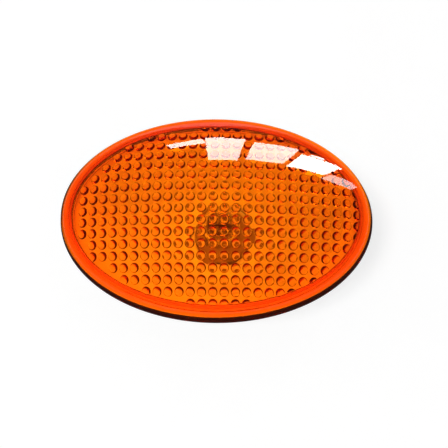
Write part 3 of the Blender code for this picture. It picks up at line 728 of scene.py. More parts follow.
@dataclass(frozen=True)
class NylonFinish:
    """Dark warm grey glass-filled nylon: dense fine grain and faint pale swirls of fibre."""

    name: str = "holder_nylon"
    color: Color = (0.19, 0.14, 0.125)
    swirl: Color = (0.26, 0.225, 0.205)
    roughness: float = 0.42
    fibre_roughness: float = 0.2
    fibres: Grain = Grain(0.0016, 5.0, 0.7, (1.0, 1.0, 3.0), (0.5, 0.8))
    skin: Grain = Grain(0.00014, 2.0, 0.6)
    skin_depth: float = 0.000012

    def material(self) -> bpy.types.Material:
        """Build the finish.

        Returns:
            The material.
        """
        paint = Paint(self.name)
        fibres = paint.noise(self.fibres)
        skin = paint.noise(self.skin)
        nylon = paint.principled(
            Base_Color=paint.mix(fibres, self.color, self.swirl),
            Roughness=self.roughness + fibres * self.fibre_roughness,
            Normal=paint.bump(skin, self.skin_depth),
        )
        return paint.finish(nylon)


@dataclass(frozen=True)
class SheetMetalFinish:
    """Bare stamped metal with rolling lines along its length and dull stains."""

    name: str
    color: Color
    stain: Color
    lines: Grain
    roughness: float = 0.28
    line_roughness: float = 0.12
    stain_roughness: float = 0.15
    stains: Grain = Grain(0.0025, 4.0, 0.65, limits=(0.48, 0.8))
    line_depth: float = 0.000004

    def material(self) -> bpy.types.Material:
        """Build the finish.

        Returns:
            The material.
        """
        paint = Paint(self.name)
        lines = paint.noise(self.lines)
        stains = paint.noise(self.stains)
        metal = paint.principled(
            Base_Color=paint.mix(stains, self.color, self.stain),
            Metallic=1.0,
            Roughness=self.roughness + lines * self.line_roughness + stains * self.stain_roughness,
            Normal=paint.bump(lines, self.line_depth),
        )
        return paint.finish(metal)


def rolled_along(stretch: Color) -> Grain:
    """Return the rolling lines of sheet metal, which run where the stretch is least."""
    return Grain(0.0004, 3.0, 0.6, stretch)


@dataclass(frozen=True)
class ClearGlassFinish:
    """Clear blown glass with faint waves and a thin film of dust."""

    name: str = "clear_glass"
    tint: Color = (0.97, 0.985, 0.98)
    dusty: Color = (0.90, 0.92, 0.91)
    ior: float = 1.5
    roughness: float = 0.01
    film_roughness: float = 0.03
    waves: Grain = Grain(0.003, 2.0, 0.5)
    wave_depth: float = 0.00002
    film: Grain = Grain(0.0015, 4.0, 0.6, limits=(0.5, 0.85))

    def material(self) -> bpy.types.Material:
        """Build the finish.

        Returns:
            The material.
        """
        paint = Paint(self.name)
        waves = paint.noise(self.waves)
        film = paint.noise(self.film)
        glass = paint.principled(
            Base_Color=paint.mix(film, self.tint, self.dusty),
            Roughness=self.roughness + film * self.film_roughness,
            IOR=self.ior,
            Transmission_Weight=1.0,
            Normal=paint.bump(waves, self.wave_depth),
        )
        return paint.finish(paint.let_lamps_through(glass))


# The lamp's pieces


def seat_piece(item: bpy.types.Object, slot: str, finish: bpy.types.Material, *nodes: str) -> None:
    """Give a piece its material, and say what it rides on, what it stands for and its slot.

    Args:
        item: The piece.
        slot: Material slot of the record.
        finish: The material.
        *nodes: CAD nodes that the piece stands for.
    """
    item.data.materials.clear()
    item.data.materials.append(finish)
    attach(item, BODY)
    if nodes:
        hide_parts(*nodes)
    LOG.info("%s: %d faces, slot %s", item.name, len(getattr(item.data, "polygons", ())), slot)


@dataclass
class AmberLens:
    """The dome: flared skirt, rounded shoulder, smooth outside, and round lenslets inside."""

    dome_rise: float = 0.0102
    dome_rings: int = 40
    pole_share: float = 0.02
    shoulder_round: float = 0.0012
    shoulder_reach: float = 1.5
    shoulder_spans: int = 8
    foot_round: float = 0.00018
    foot_middle: float = 0.3
    corner_round: float = 0.00020
    corner_start: float = 0.93
    corner_spans: int = 4
    groove_z: float = 0.0368
    tongue_outer: float = 0.00420
    tongue_inner: float = 0.00475
    tongue_low_z: float = 0.0357
    tongue_round: float = 0.00012
    pitch_x: float = 0.00273
    pitch_y: float = 0.00274
    lenslet_radius: float = 0.00117
    lenslet_rise: float = 0.00064
    lenslet_rings: tuple[tuple[float, int], ...] = (
        (0.26, 8),
        (0.5, 14),
        (0.7, 18),
        (0.85, 22),
        (0.95, 22),
        (1.0, 22),
        (1.06, 22),
    )
    pattern_half_x: float = 0.0358
    pattern_half_y: float = 0.0223
    pattern_middle: tuple[float, float] = (0.00123, -0.0002)
    margin_shares: tuple[float, float] = (0.985, 0.80)
    margin_rings: int = 10
    margin_skip: int = 3
    margin_gap: float = 1.2
    border_gap: float = 0.003
    net_tolerance: float = 1e-6
    # Slopes, probe and reaches of the mask for the shade painted on the lenslets' flanks.
    flank_slopes: tuple[float, float] = (0.36, 0.56)
    flank_probe: float = 0.00002
    flank_side_reach: float = 0.020
    flank_low_reach: float = 0.008
    bond_width: float = 0.00026
    bond_clearance: float = 0.00002
    bond_top_z: float = 0.0352
    bond_rings: int = 6
    seam_outer: float = 0.00012
    seam_step: float = 0.0001
    sides: int = 360
    finish: AmberFinish = field(default_factory=AmberFinish)
    # Near-black beads whose colour paints the shade under the skirt's foot.
    bond: RubberFinish = RubberFinish("bond_bead_painted_shade", (0.034, 0.009, 0.009), (0.048, 0.014, 0.013), 0.6)

    @property
    def shoulder_x(self) -> float:
        """Half length of the oval in which the dome meets the skirt."""
        return SIZES.half_length - SIZES.skirt_flare

    @property
    def shoulder_y(self) -> float:
        """Half width of that oval."""
        return SIZES.half_width - SIZES.skirt_flare

    @property
    def border_inset(self) -> float:
        """How far the flat inner face's border lies inside the lamp's oval."""
        return self.tongue_inner + 2 * self.corner_round

    def outside(self, x: np.ndarray | float, y: np.ndarray | float) -> np.ndarray | float:
        """Return the outer dome's height: shoulder + rise (1 - (x/a)^2 - (y/b)^2)."""
        fall = (x / self.shoulder_x) ** 2
        return SIZES.shoulder_z + self.dome_rise * (1 - fall - (y / self.shoulder_y) ** 2)

    def inside(self, x: np.ndarray, y: np.ndarray) -> np.ndarray:
        """Work out the inner dome: the outer one less the wall, measured square to the slope.

        Args:
            x: Places along X.
            y: Places along Y.

        Returns:
            The height at each place.
        """
        slope_x = 2 * self.dome_rise * x / self.shoulder_x**2
        slope_y = 2 * self.dome_rise * y / self.shoulder_y**2
        return self.outside(x, y) - SIZES.lens_wall * np.sqrt(1 + slope_x**2 + slope_y**2)

    def in_pattern(self, x: np.ndarray, y: np.ndarray) -> np.ndarray:
        """Tell which lattice points lie in the oval that the lenslets fill.

        Args:
            x: The points' X.
            y: The points' Y.

        Returns:
            True for each point inside the oval.
        """
        middle_x, middle_y = self.pattern_middle
        along = (x - middle_x) / self.pattern_half_x
        across = (y - middle_y) / self.pattern_half_y
        return along**2 + across**2 < 1

    def lenslet_centres(self) -> np.ndarray:
        """Lay out the lenslets on a lattice.

        Returns:
            The lattice points that carry a lenslet, as rows of x, y.
        """
        columns = math.ceil(SIZES.half_length / self.pitch_x)
        rows = math.ceil(SIZES.half_width / self.pitch_y)
        along = np.arange(-columns, columns + 1) * self.pitch_x
        across = np.arange(-rows, rows + 1) * self.pitch_y
        x, y = np.meshgrid(along, across)
        kept = self.in_pattern(x, y)
        return np.stack([x[kept], y[kept]], axis=1)

    def lenslet_depth(self, x: np.ndarray, y: np.ndarray) -> np.ndarray:
        """Work out how far the nearest lenslet stands proud: sqrt(S^2 - d^2) - sqrt(S^2 - R^2), or 0 past R.

        Args:
            x: Places along X.
            y: Places along Y.

        Returns:
            The depth at each place. Here d is the distance to the lenslet's middle, R its
            radius and S the radius of its sphere.
        """
        near_x = np.round(x / self.pitch_x) * self.pitch_x
        near_y = np.round(y / self.pitch_y) * self.pitch_y
        radius = self.lenslet_radius
        sphere = (radius**2 + self.lenslet_rise**2) / (2 * self.lenslet_rise)
        distance = np.hypot(x - near_x, y - near_y)
        cap = np.sqrt(sphere**2 - np.minimum(distance, radius) ** 2) - math.sqrt(sphere**2 - radius**2)
        return np.where(self.in_pattern(near_x, near_y), cap, 0.0)

    def lensed(self, x: np.ndarray, y: np.ndarray) -> np.ndarray:
        """Return the inner face's height with its lenslets."""
        return self.inside(x, y) - self.lenslet_depth(x, y)

    def painted_flank_shade_share(self, x: np.ndarray, y: np.ndarray) -> np.ndarray:
        """Work out where shade is painted: where a lenslet's flank is steep and faces the lens's middle.

        With dx and dy for how fast its depth falls along x and y, the lean is
        dx wx + dy wy. The weight wx goes from 1 on the left to -1 on the right, and
        wy is 1 below the middle and 0 above it.

        Args:
            x: Places along X.
            y: Places along Y.

        Returns:
            A share from 0 to 1 at each place.
        """
        probe = self.flank_probe
        slope_x = (self.lenslet_depth(x - probe, y) - self.lenslet_depth(x + probe, y)) / (2 * probe)
        slope_y = (self.lenslet_depth(x, y - probe) - self.lenslet_depth(x, y + probe)) / (2 * probe)
        weight_x = np.clip(-x / self.flank_side_reach, -1.0, 1.0)
        weight_y = np.clip(0.5 - y / self.flank_low_reach, 0.0, 1.0)
        low, high = self.flank_slopes
        share = np.clip((slope_x * weight_x + slope_y * weight_y - low) / (high - low), 0.0, 1.0)
        return share**2 * (3 - 2 * share)

    def field_points(self, border: np.ndarray) -> np.ndarray:
        """Plan the inner face: its border, rings round each lenslet, and rings in the margin.

        The border cuts the outermost lenslets, whose points past it are left out.

        Args:
            border: Points of the border, as rows of x, y.

        Returns:
            All points as rows of x, y, the border's first.
        """
        centres = self.lenslet_centres()
        parts = [centres]
        for reach, count in self.lenslet_rings:
            angle = 2 * math.pi * (np.arange(count) + 0.5) / count
            ring = reach * self.lenslet_radius * np.stack([np.cos(angle), np.sin(angle)], axis=1)
            parts.append((centres[:, None] + ring[None]).reshape(-1, 2))
        shares = np.linspace(*self.margin_shares, self.margin_rings)
        rings = [border[:: max(1, round(self.margin_skip * share))] * share for share in shares]
        margin = np.concatenate(rings)
        away = np.hypot(margin[:, None, 0] - centres[:, 0], margin[:, None, 1] - centres[:, 1])
        parts.append(margin[(away > self.margin_gap * self.lenslet_radius).all(axis=1)])
        inner = np.concatenate(parts)
        half = np.array([SIZES.half_length, SIZES.half_width]) - self.border_inset
        inner = inner[np.hypot(*(inner / half).T) < 1 - self.border_gap]
        return np.concatenate([border, inner])

    def dome_row(self, share: float) -> np.ndarray:
        """Return the dome's level line at a share of its oval, as a row for level_rings."""
        height = SIZES.shoulder_z + self.dome_rise * (1 - share**2)
        return np.array([self.shoulder_x * share, self.shoulder_y * share, 0.0, 0.0, height])

    def outer_rows(self) -> np.ndarray:
        """Lay out the outside from the foot up: skirt, the shoulder's curve, and the dome's level lines.

        Returns:
            Rows for level_rings.
        """
        foot = self.foot_round
        near = foot * self.foot_middle
        low_z = SIZES.shoulder_z - self.shoulder_round
        low_inset = SIZES.skirt_flare * (low_z - SIZES.rim_z) / SIZES.skirt_height
        top_share = 1 - self.shoulder_reach * self.shoulder_round / self.shoulder_x
        skirt = oval_rows(
            (SIZES.foot_wall - foot, SIZES.rim_z),
            (foot, SIZES.rim_z),
            (near, SIZES.rim_z + near),
            (SIZES.skirt_flare * foot / SIZES.skirt_height, SIZES.rim_z + foot),
            (low_inset / 2, (SIZES.rim_z + low_z) / 2),
        )
        low, corner = oval_rows((low_inset, low_z), (SIZES.skirt_flare, SIZES.shoulder_z))
        shoulder = bend(low, corner, self.dome_row(top_share), self.shoulder_spans)
        shares = top_share * np.linspace(1.0, self.pole_share, self.dome_rings)[1:]
        dome = np.array([self.dome_row(share) for share in shares])
        return np.concatenate([skirt, shoulder, dome])

    def under_rings(self) -> np.ndarray:
        """Lay out the underside: skirt's inner face, groove over the housing's lip, and tongue inside it.

        Returns:
            Rings from the foot to the tongue's inner face.
        """
        wall_inset = SIZES.inner_flare * (self.groove_z - SIZES.rim_z) / SIZES.skirt_height
        low = self.tongue_low_z
        rows = oval_rows(
            (SIZES.foot_wall, SIZES.rim_z + self.foot_round),
            (SIZES.foot_wall + wall_inset, self.groove_z),
            (self.tongue_outer, self.groove_z),
            (self.tongue_outer, low),
            (self.tongue_inner, low),
            (self.tongue_inner, low + 2 * self.tongue_round),
        )
        return level_rings(round_corners(rows, (0.0, *[self.tongue_round] * 4, 0.0)), self.sides)

    def border_bend(self, last: np.ndarray) -> tuple[np.ndarray, np.ndarray]:
        """Bend from the tongue into the inner face, whose border cuts the lenslets that cross it.

        Args:
            last: The tongue's last ring.

        Returns:
            The rings of the bend, and the border.
        """
        inset = self.border_inset
        edge, border = level_rings(oval_rows((inset - self.corner_round, 0.0), (inset, 0.0)), self.sides)
        depth = self.lenslet_depth(border[:, 0], border[:, 1])
        edge[:, 2] = self.inside(edge[:, 0], edge[:, 1]) - depth
        border[:, 2] = self.inside(border[:, 0], border[:, 1]) - depth
        start = last + (edge - last) * self.corner_start
        return bend(start, edge, border, self.corner_spans)[:-1], border

    def inner_face(self, border: np.ndarray) -> tuple[np.ndarray, np.ndarray]:
        """Span a Delaunay net over field_points, with z from inside less lenslet_depth.

        Args:
            border: The face's border.

        Returns:
            The net's points, the border's first, and its triangles as rows of point numbers.
        """
        plan = self.field_points(border[:, :2])
        scale = 1 / self.lenslet_radius
        ring = np.arange(self.sides)
        edges = np.stack([ring, np.roll(ring, -1)], axis=1)
        # Output type 0 keeps every triangle, and none lies outside the border, since that is convex.
        net = delaunay_2d_cdt((plan * scale).tolist(), edges.tolist(), [], 0, self.net_tolerance, False)
        flat = np.array(net[0]) / scale
        points = np.column_stack([flat, self.lensed(flat[:, 0], flat[:, 1])])
        return points, np.array(net[2])

    def build(self) -> bpy.types.Object:
        """Build the dome as one closed mesh, with the painted shade on its steep flanks marked.

        Returns:
            The lens.
        """
        draft = MeshDraft()
        outer = draft.add(level_rings(self.outer_rows(), self.sides))
        draft.skin(outer)
        draft.close(outer[-1], (0.0, 0.0, float(self.outside(0.0, 0.0))))
        under = self.under_rings()
        bent, border = self.border_bend(under[-1])
        inner = draft.add(np.concatenate([under, bent]))
        draft.skin(np.concatenate([outer[:1], inner]))
        points, triangles = self.inner_face(border)
        face = draft.add(points)
        draft.faces.append(face[triangles])
        draft.skin(np.stack([inner[-1], face[: self.sides]]))
        item = draft.to_object("amber_lens", sharp_angle=60.0)
        # Mark where the shade is painted on the lenslets' flanks.
        flank = np.zeros(draft.count)
        flank[face] = self.painted_flank_shade_share(points[:, 0], points[:, 1])
        item.data.attributes.new(FLANK_SHADE, "FLOAT", "POINT").data.foreach_set("value", flank)
        return item

    def build_shade_beads(self) -> bpy.types.Object:
        """Build the lens's bond beads, each a closed band of rings, near black to paint the shade under the
        skirt.

        One fills the gap between the skirt's inner face and the lip, and leans as
        that face does. The other closes the seam under the skirt's outer edge.

        Returns:
            Both beads as one piece.
        """
        low = SIZES.flange_top_z + self.bond_clearance
        high = SIZES.rim_z - self.bond_clearance
        heights = np.linspace(low, self.bond_top_z, self.bond_rings)
        lean = SIZES.inner_flare * np.maximum(heights - SIZES.rim_z, 0.0) / SIZES.skirt_height
        insets = SIZES.foot_wall + self.bond_clearance + lean
        outer = oval_rows(*zip(insets, heights))
        inner = oval_rows(*zip(insets + self.bond_width, heights))
        near = self.seam_outer
        far = SIZES.foot_wall - self.seam_step
        seam = oval_rows((near, low), (near, high), (far, high), (far, low))
        draft = MeshDraft()
        for rows in (np.concatenate([outer, inner[::-1]]), seam):
            draft.skin(draft.add(level_rings(rows, self.sides)), along=True)
        return draft.to_object("lens_bond_bead_painted_shade", sharp_angle=50.0)

    def dress(self) -> None:
        """Build the lens and its bond beads, near black as painted shade, and seat them."""
        seat_piece(self.build(), "amber_lens", self.finish.material(), "lens")
        seat_piece(self.build_shade_beads(), "gasket_rubber", self.bond.material())


@dataclass
class BowlHousing:
    """The moulded housing: flange with its lip, bowl, socket collar, hook, clip pad and gussets."""

    mouth_inset: float = 0.0079
    wall: float = 0.0020
    end_curve: float = 1.3
    bowl_start: float = 0.02
    bowl_rings: int = 36
    back_start: float = 0.965
    back_rings: int = 30
    flange_inset: float = 0.0006
    lip_height: float = 0.0025
    lip_width: float = 0.0012
    edge_round: float = 0.00025
    notch_count: int = 3
    notch_reach: float = 0.0015
    notch_arc: float = math.radians(34)
    notch_turn: float = math.radians(60)
    notch_blur: float = math.radians(0.5)
    fixing_z: float = 0.0282
    fuse_depth: float = 0.0017
    hook_thickness: float = 0.0022
    hook_half_width: float = 0.0050
    hook_overhang: float = 0.0040
    hook_chamfer: float = 0.0009
    hook_round: float = 0.00022
    hook_round_spans: int = 3
    clip_metal: float = 0.0006
    clip_half_width: float = 0.0045
    clip_leg: float = 0.0080
    pad_proud: float = 0.0004
    pad_round: float = 0.00018
    rail_width: float = 0.0012
    rail_height: float = 0.0015
    gusset_count: int = 4
    gusset_thickness: float = 0.0014
    gusset_foot: float = 0.0020
    gusset_rise: float = 0.0030
    gusset_shares: tuple[float, ...] = (1.0, 0.6, 0.3)
    gusset_step: float = 0.0007
    gusset_round: float = 0.00020
    sides: int = 256
    finish: MouldedFinish = field(default_factory=MouldedFinish)

    def half_sizes(self, share: np.ndarray | float, wall: float) -> tuple[Any, Any]:
        """Work out the bowl's half sizes at a share s of its depth.

        Lengthwise they follow 1 - s^1.3, crosswise sqrt(1 - s^2), from the mouth's
        oval to the collar's circle.

        Args:
            share: The share of the depth, 0 at the mouth.
            wall: How far outside the inner face they are measured.

        Returns:
            Half length and half width.
        """
        mouth_x = SIZES.half_length - self.mouth_inset
        mouth_y = SIZES.half_width - self.mouth_inset
        radius = SIZES.collar_radius
        half_x = radius + (mouth_x - radius) * (1 - np.power(share, self.end_curve)) + wall
        half_y = radius + (mouth_y - radius) * np.sqrt(np.maximum(0.0, 1 - np.square(share))) + wall
        return half_x, half_y

    def share_at(self, height: float) -> float:
        """Return the share of the bowl's depth at a height."""
        return (SIZES.flange_top_z - height) / (SIZES.flange_top_z - SIZES.floor_z)

    def bowl_rows(self, shares: np.ndarray, wall: float) -> np.ndarray:
        """Lay out levels of the bowl, whose middles move to the socket's axis as it gets deeper.

        Args:
            shares: Shares of the bowl's depth.
            wall: How far outside the inner face they lie.

        Returns:
            Rows for level_rings.
        """
        half_x, half_y = self.half_sizes(shares, wall)
        height = SIZES.flange_top_z + (SIZES.floor_z - SIZES.flange_top_z) * shares
        return np.stack([half_x, half_y, SIZES.socket_x * shares, SIZES.socket_y * shares, height], axis=1)

    def end_x(self, height: float, end: End) -> float:
        """Return where the bowl's outer face crosses the XZ plane at one end."""
        share = self.share_at(height)
        return SIZES.socket_x * share + end * float(self.half_sizes(share, self.wall)[0])

    def reach(self, height: float, angle: float) -> float:
        """Find how far the middle of the bowl's wall lies from the socket's axis.

        The distance t solves |start + t run| = 1, with both measured in the wall's half sizes.

        Args:
            height: The level.
            angle: The direction in radians from +X.

        Returns:
            The distance in metres.
        """
        share = self.share_at(height)
        half_x, half_y = self.half_sizes(share, self.wall / 2)
        start = np.array([SIZES.socket_x * (1 - share) / half_x, SIZES.socket_y * (1 - share) / half_y])
        run = np.array([math.cos(angle) / half_x, math.sin(angle) / half_y])
        square = float(run @ run)
        mixed = float(start @ run)
        return (math.sqrt(mixed**2 - square * (float(start @ start) - 1)) - mixed) / square

    def rim_rows(self) -> np.ndarray:
        """Lay out the flange and the lip that stands on it.

        Returns:
            Rows for level_rings, with rounded corners.
        """
        lip_top = SIZES.rim_z + self.lip_height
        lip_inset = SIZES.foot_wall + SIZES.gap
        lip_top_inset = lip_inset + SIZES.inner_flare * self.lip_height / SIZES.skirt_height
        rows = oval_rows(
            (self.flange_inset, SIZES.flange_back_z),
            (self.flange_inset, SIZES.flange_top_z),
            (lip_inset, SIZES.flange_top_z),
            (lip_top_inset, lip_top),
            (lip_top_inset + self.lip_width, lip_top),
            (lip_top_inset + self.lip_width, SIZES.flange_top_z),
            (self.mouth_inset, SIZES.flange_top_z),
        )
        return round_corners(rows, (0.0, *[self.edge_round] * 5, 0.0))

    def notched(self, rings: np.ndarray) -> np.ndarray:
        """Widen the socket at its entry notches.

        In a notch the radius is r + reach, which it rises to over the blur.

        Args:
            rings: Rings round the socket's axis.

        Returns:
            The rings with the notches.
        """
        turn = 2 * math.pi / self.notch_count
        angle = 2 * math.pi * np.arange(self.sides) / self.sides
        away = np.abs((angle - self.notch_turn + turn / 2) % turn - turn / 2)
        share = np.clip((self.notch_arc / 2 - away) / self.notch_blur + 0.5, 0.0, 1.0)
        grow = 1 + share * self.notch_reach / SIZES.socket_radius
        middle = np.array([SIZES.socket_x, SIZES.socket_y])
        widened = rings.copy()
        widened[..., :2] = middle + (rings[..., :2] - middle) * grow[:, None]
        return widened

    def build_body(self) -> bpy.types.Object:
        """Build flange, lip, bowl and collar as one closed band of rings.

        Returns:
            The body.
        """
        edge = self.edge_round
        turn = np.linspace(self.bowl_start, 1.0, self.bowl_rings) * math.pi / 2
        inside = self.bowl_rows(np.sin(turn), 0.0)
        hole = socket_rows(
            (SIZES.socket_radius + edge, SIZES.floor_z),
            (SIZES.socket_radius, SIZES.floor_z - edge),
            (SIZES.socket_radius, SIZES.collar_back_z + edge),
            (SIZES.socket_radius + edge, SIZES.collar_back_z),
        )
        collar = socket_rows(
            (SIZES.collar_radius - edge, SIZES.collar_back_z),
            (SIZES.collar_radius, SIZES.collar_back_z + edge),
            (SIZES.collar_radius, SIZES.floor_z - self.wall),
        )
        shares = np.linspace(self.back_start, self.share_at(SIZES.flange_back_z), self.back_rings)
        outside = self.bowl_rows(shares, self.wall)
        front = level_rings(np.concatenate([self.rim_rows(), inside]), self.sides)
        socket = self.notched(level_rings(hole, self.sides))
        back = level_rings(np.concatenate([collar, outside]), self.sides)
        draft = MeshDraft()
        draft.skin(draft.add(np.concatenate([front, socket, back])), along=True)
        return draft.to_object("housing_body", sharp_angle=50.0)

    def build_hook(self) -> bpy.types.Object:
        """Build the flat hook at -X with its chamfered tip.

        Returns:
            The hook.
        """
        top = self.fixing_z
        back = top - self.hook_thickness
        tip = -(SIZES.half_length - self.mouth_inset + self.wall + self.hook_overhang)
        chamfer = self.hook_chamfer
        profile = [
            (self.end_x(back, End.HOOK) + self.fuse_depth, back),
            (tip + chamfer, back),
            (tip, back + chamfer),
            (tip, top - chamfer / 2),
            (tip + chamfer, top),
            (self.end_x(top, End.HOOK) + self.fuse_depth, top),
        ]
        outline = np.array([(x, -self.hook_half_width, z) for x, z in profile])
        draft = MeshDraft()
        draft.prism(outline, (0.0, 2 * self.hook_half_width, 0.0))
        item = draft.to_object("housing_hook")
        add_bevel(item, self.hook_round, self.hook_round_spans)
        return item

    def build_pad(self) -> bpy.types.Object:
        """Build the pad at +X, a channel with a rail on each side of the leaf spring.

        Returns:
            The pad.
        """
        low = self.fixing_z - self.clip_leg
        high = self.fixing_z - self.clip_metal
        face = self.end_x(self.fixing_z - 2 * self.clip_metal, End.SPRING) + self.pad_proud
        proud = face + self.rail_height
        inner = self.clip_half_width + SIZES.gap
        outer = inner + self.rail_width
        y = np.array([-outer, -outer, -inner, -inner, inner, inner, outer, outer])
        ends = []
        for height in (low, high):
            root = self.end_x(height, End.SPRING) - self.fuse_depth
            x = np.array([root, proud, proud, face, face, proud, proud, root])
            ends.append(np.column_stack([x, y, np.full(len(x), height)]))
        draft = MeshDraft()
        draft.join_ends(np.stack(ends))
        item = draft.to_object("housing_clip_pad")
        add_bevel(item, self.pad_round)
        return item

    def build_gussets(self) -> bpy.types.Object:
        """Build the ribs between collar and bowl, each a thin prism turned round the socket's axis.

        Returns:
            All ribs as one piece.
        """
        draft = MeshDraft()
        start = (SIZES.socket_radius + SIZES.collar_radius) / 2
        low = SIZES.collar_back_z + self.gusset_step
        for index in range(self.gusset_count):
            angle = 2 * math.pi * (index + 0.5) / self.gusset_count
            heights = [SIZES.floor_z + self.gusset_rise * share for share in self.gusset_shares]
            profile = [(start, low), (SIZES.collar_radius + self.gusset_foot, low)]
            profile += [(self.reach(height, angle), height) for height in heights]
            profile.append((start, SIZES.floor_z - self.wall / 2))
            run = np.array([math.cos(angle), math.sin(angle), 0.0])
            side = np.array([-run[1], run[0], 0.0]) * self.gusset_thickness / 2
            away = np.array(profile)
            outline = run * away[:, :1] + np.array([0.0, 0.0, 1.0]) * away[:, 1:] - side
            outline += np.array([SIZES.socket_x, SIZES.socket_y, 0.0])
            draft.prism(outline, side * 2)
        item = draft.to_object("housing_gussets")
        add_bevel(item, self.gusset_round)
        return item

    def dress(self) -> None:
        """Build the housing's pieces and seat them."""
        finish = self.finish.material()
        for build in (self.build_body, self.build_hook, self.build_pad, self.build_gussets):
            seat_piece(build(), "housing_plastic", finish, "housing")


@dataclass
class FenderGasket:
    """The soft ring behind the flange: two lips on its fender side with a channel between."""

    top_z: float = 0.0316
    thickness: float = 0.0022
    outer_inset: float = 0.0012
    inner_inset: float = 0.0056
    channel_width: float = 0.0014
    channel_depth: float = 0.0006
    edge_round: float = 0.00040
    channel_round: float = 0.00020
    sides: int = 256
    finish: RubberFinish = field(default_factory=RubberFinish)

    def dress(self) -> None:
        """Build the gasket as a closed band of rounded rings and seat it."""
        back = self.top_z - self.thickness
        middle = (self.outer_inset + self.inner_inset) / 2
        half = self.channel_width / 2
        rows = oval_rows(
            (self.outer_inset, self.top_z),
            (self.inner_inset, self.top_z),
            (self.inner_inset, back),
            (middle + half, back),
            (middle + half, back + self.channel_depth),
            (middle - half, back + self.channel_depth),
            (middle - half, back),
            (self.outer_inset, back),
        )
        radii = (*[self.edge_round] * 3, *[self.channel_round] * 4, self.edge_round)
        draft = MeshDraft()
        draft.skin(draft.add(level_rings(round_corners(rows, radii), self.sides)), along=True)
        item = draft.to_object("fender_gasket", sharp_angle=60.0)
        seat_piece(item, "gasket_rubber", self.finish.material(), "gasket")


@dataclass
class TwistLockHolder:
    """The holder with its plug shroud, the contacts in it, and the seal ring round its neck."""

    edge_round: float = 0.00016
    contact_round: float = 0.00008
    seal_radius: float = 0.0007
    seal_ring: float = 0.0090
    seal_z: float = 0.0100
    seal_spans: int = 24
    seal_sides: int = 128
    nylon: NylonFinish = field(default_factory=NylonFinish)
    seal: RubberFinish = RubberFinish("seal_silicone", (0.72, 0.70, 0.66), (0.80, 0.79, 0.76), 0.5)
    brass: SheetMetalFinish = SheetMetalFinish(
        "contact_brass", (0.80, 0.60, 0.30), (0.52, 0.34, 0.16), rolled_along((4.0, 4.0, 0.3))
    )

    def build_seal(self) -> bpy.types.Object:
        """Build the seal ring: x = (R + r cos b) cos a, y = (R + r cos b) sin a, z = r sin b.

        Returns:
            The ring.
        """
        turn = 2 * math.pi * np.arange(self.seal_spans) / self.seal_spans
        radii = self.seal_ring + self.seal_radius * np.cos(turn)
        heights = self.seal_z + self.seal_radius * np.sin(turn)
        draft = MeshDraft()
        draft.skin(draft.add(level_rings(socket_rows(*zip(radii, heights)), self.seal_sides)), along=True)
        return draft.to_object("holder_seal_ring")

    def dress(self, frame: dict[str, Any]) -> None:
        """Build the holder, its contacts and its seal, and seat them.
        """
        holder = refined_copy(frame, "bulb_holder", "twist_lock_holder", self.edge_round)
        seat_piece(holder, "holder_nylon", self.nylon.material(), "bulb_holder")
        brass = self.brass.material()
        for side in ("left", "right"):
            contact = refined_copy(frame, f"contact_{side}", f"plug_contact_{side}", self.contact_round)
            seat_piece(contact, "contact_brass", brass, f"contact_{side}")
        seat_piece(self.build_seal(), "seal_silicone", self.seal.material(), "holder_seal")


@dataclass
class LeafSpring:
    """The bent steel strip at +X that grips the edge of the fender."""

    edge_round: float = 0.00010
    steel: SheetMetalFinish = SheetMetalFinish(
        "spring_steel", (0.60, 0.60, 0.62), (0.34, 0.33, 0.33), rolled_along((4.0, 0.3, 4.0)), 0.24
    )

    def dress(self, frame: dict[str, Any]) -> None:
        """Build the spring from its CAD strip with rounded edges and seat it."""
        item = refined_copy(frame, "retaining_clip", "leaf_spring", self.edge_round)
        seat_piece(item, "spring_steel", self.steel.material(), "retaining_clip")


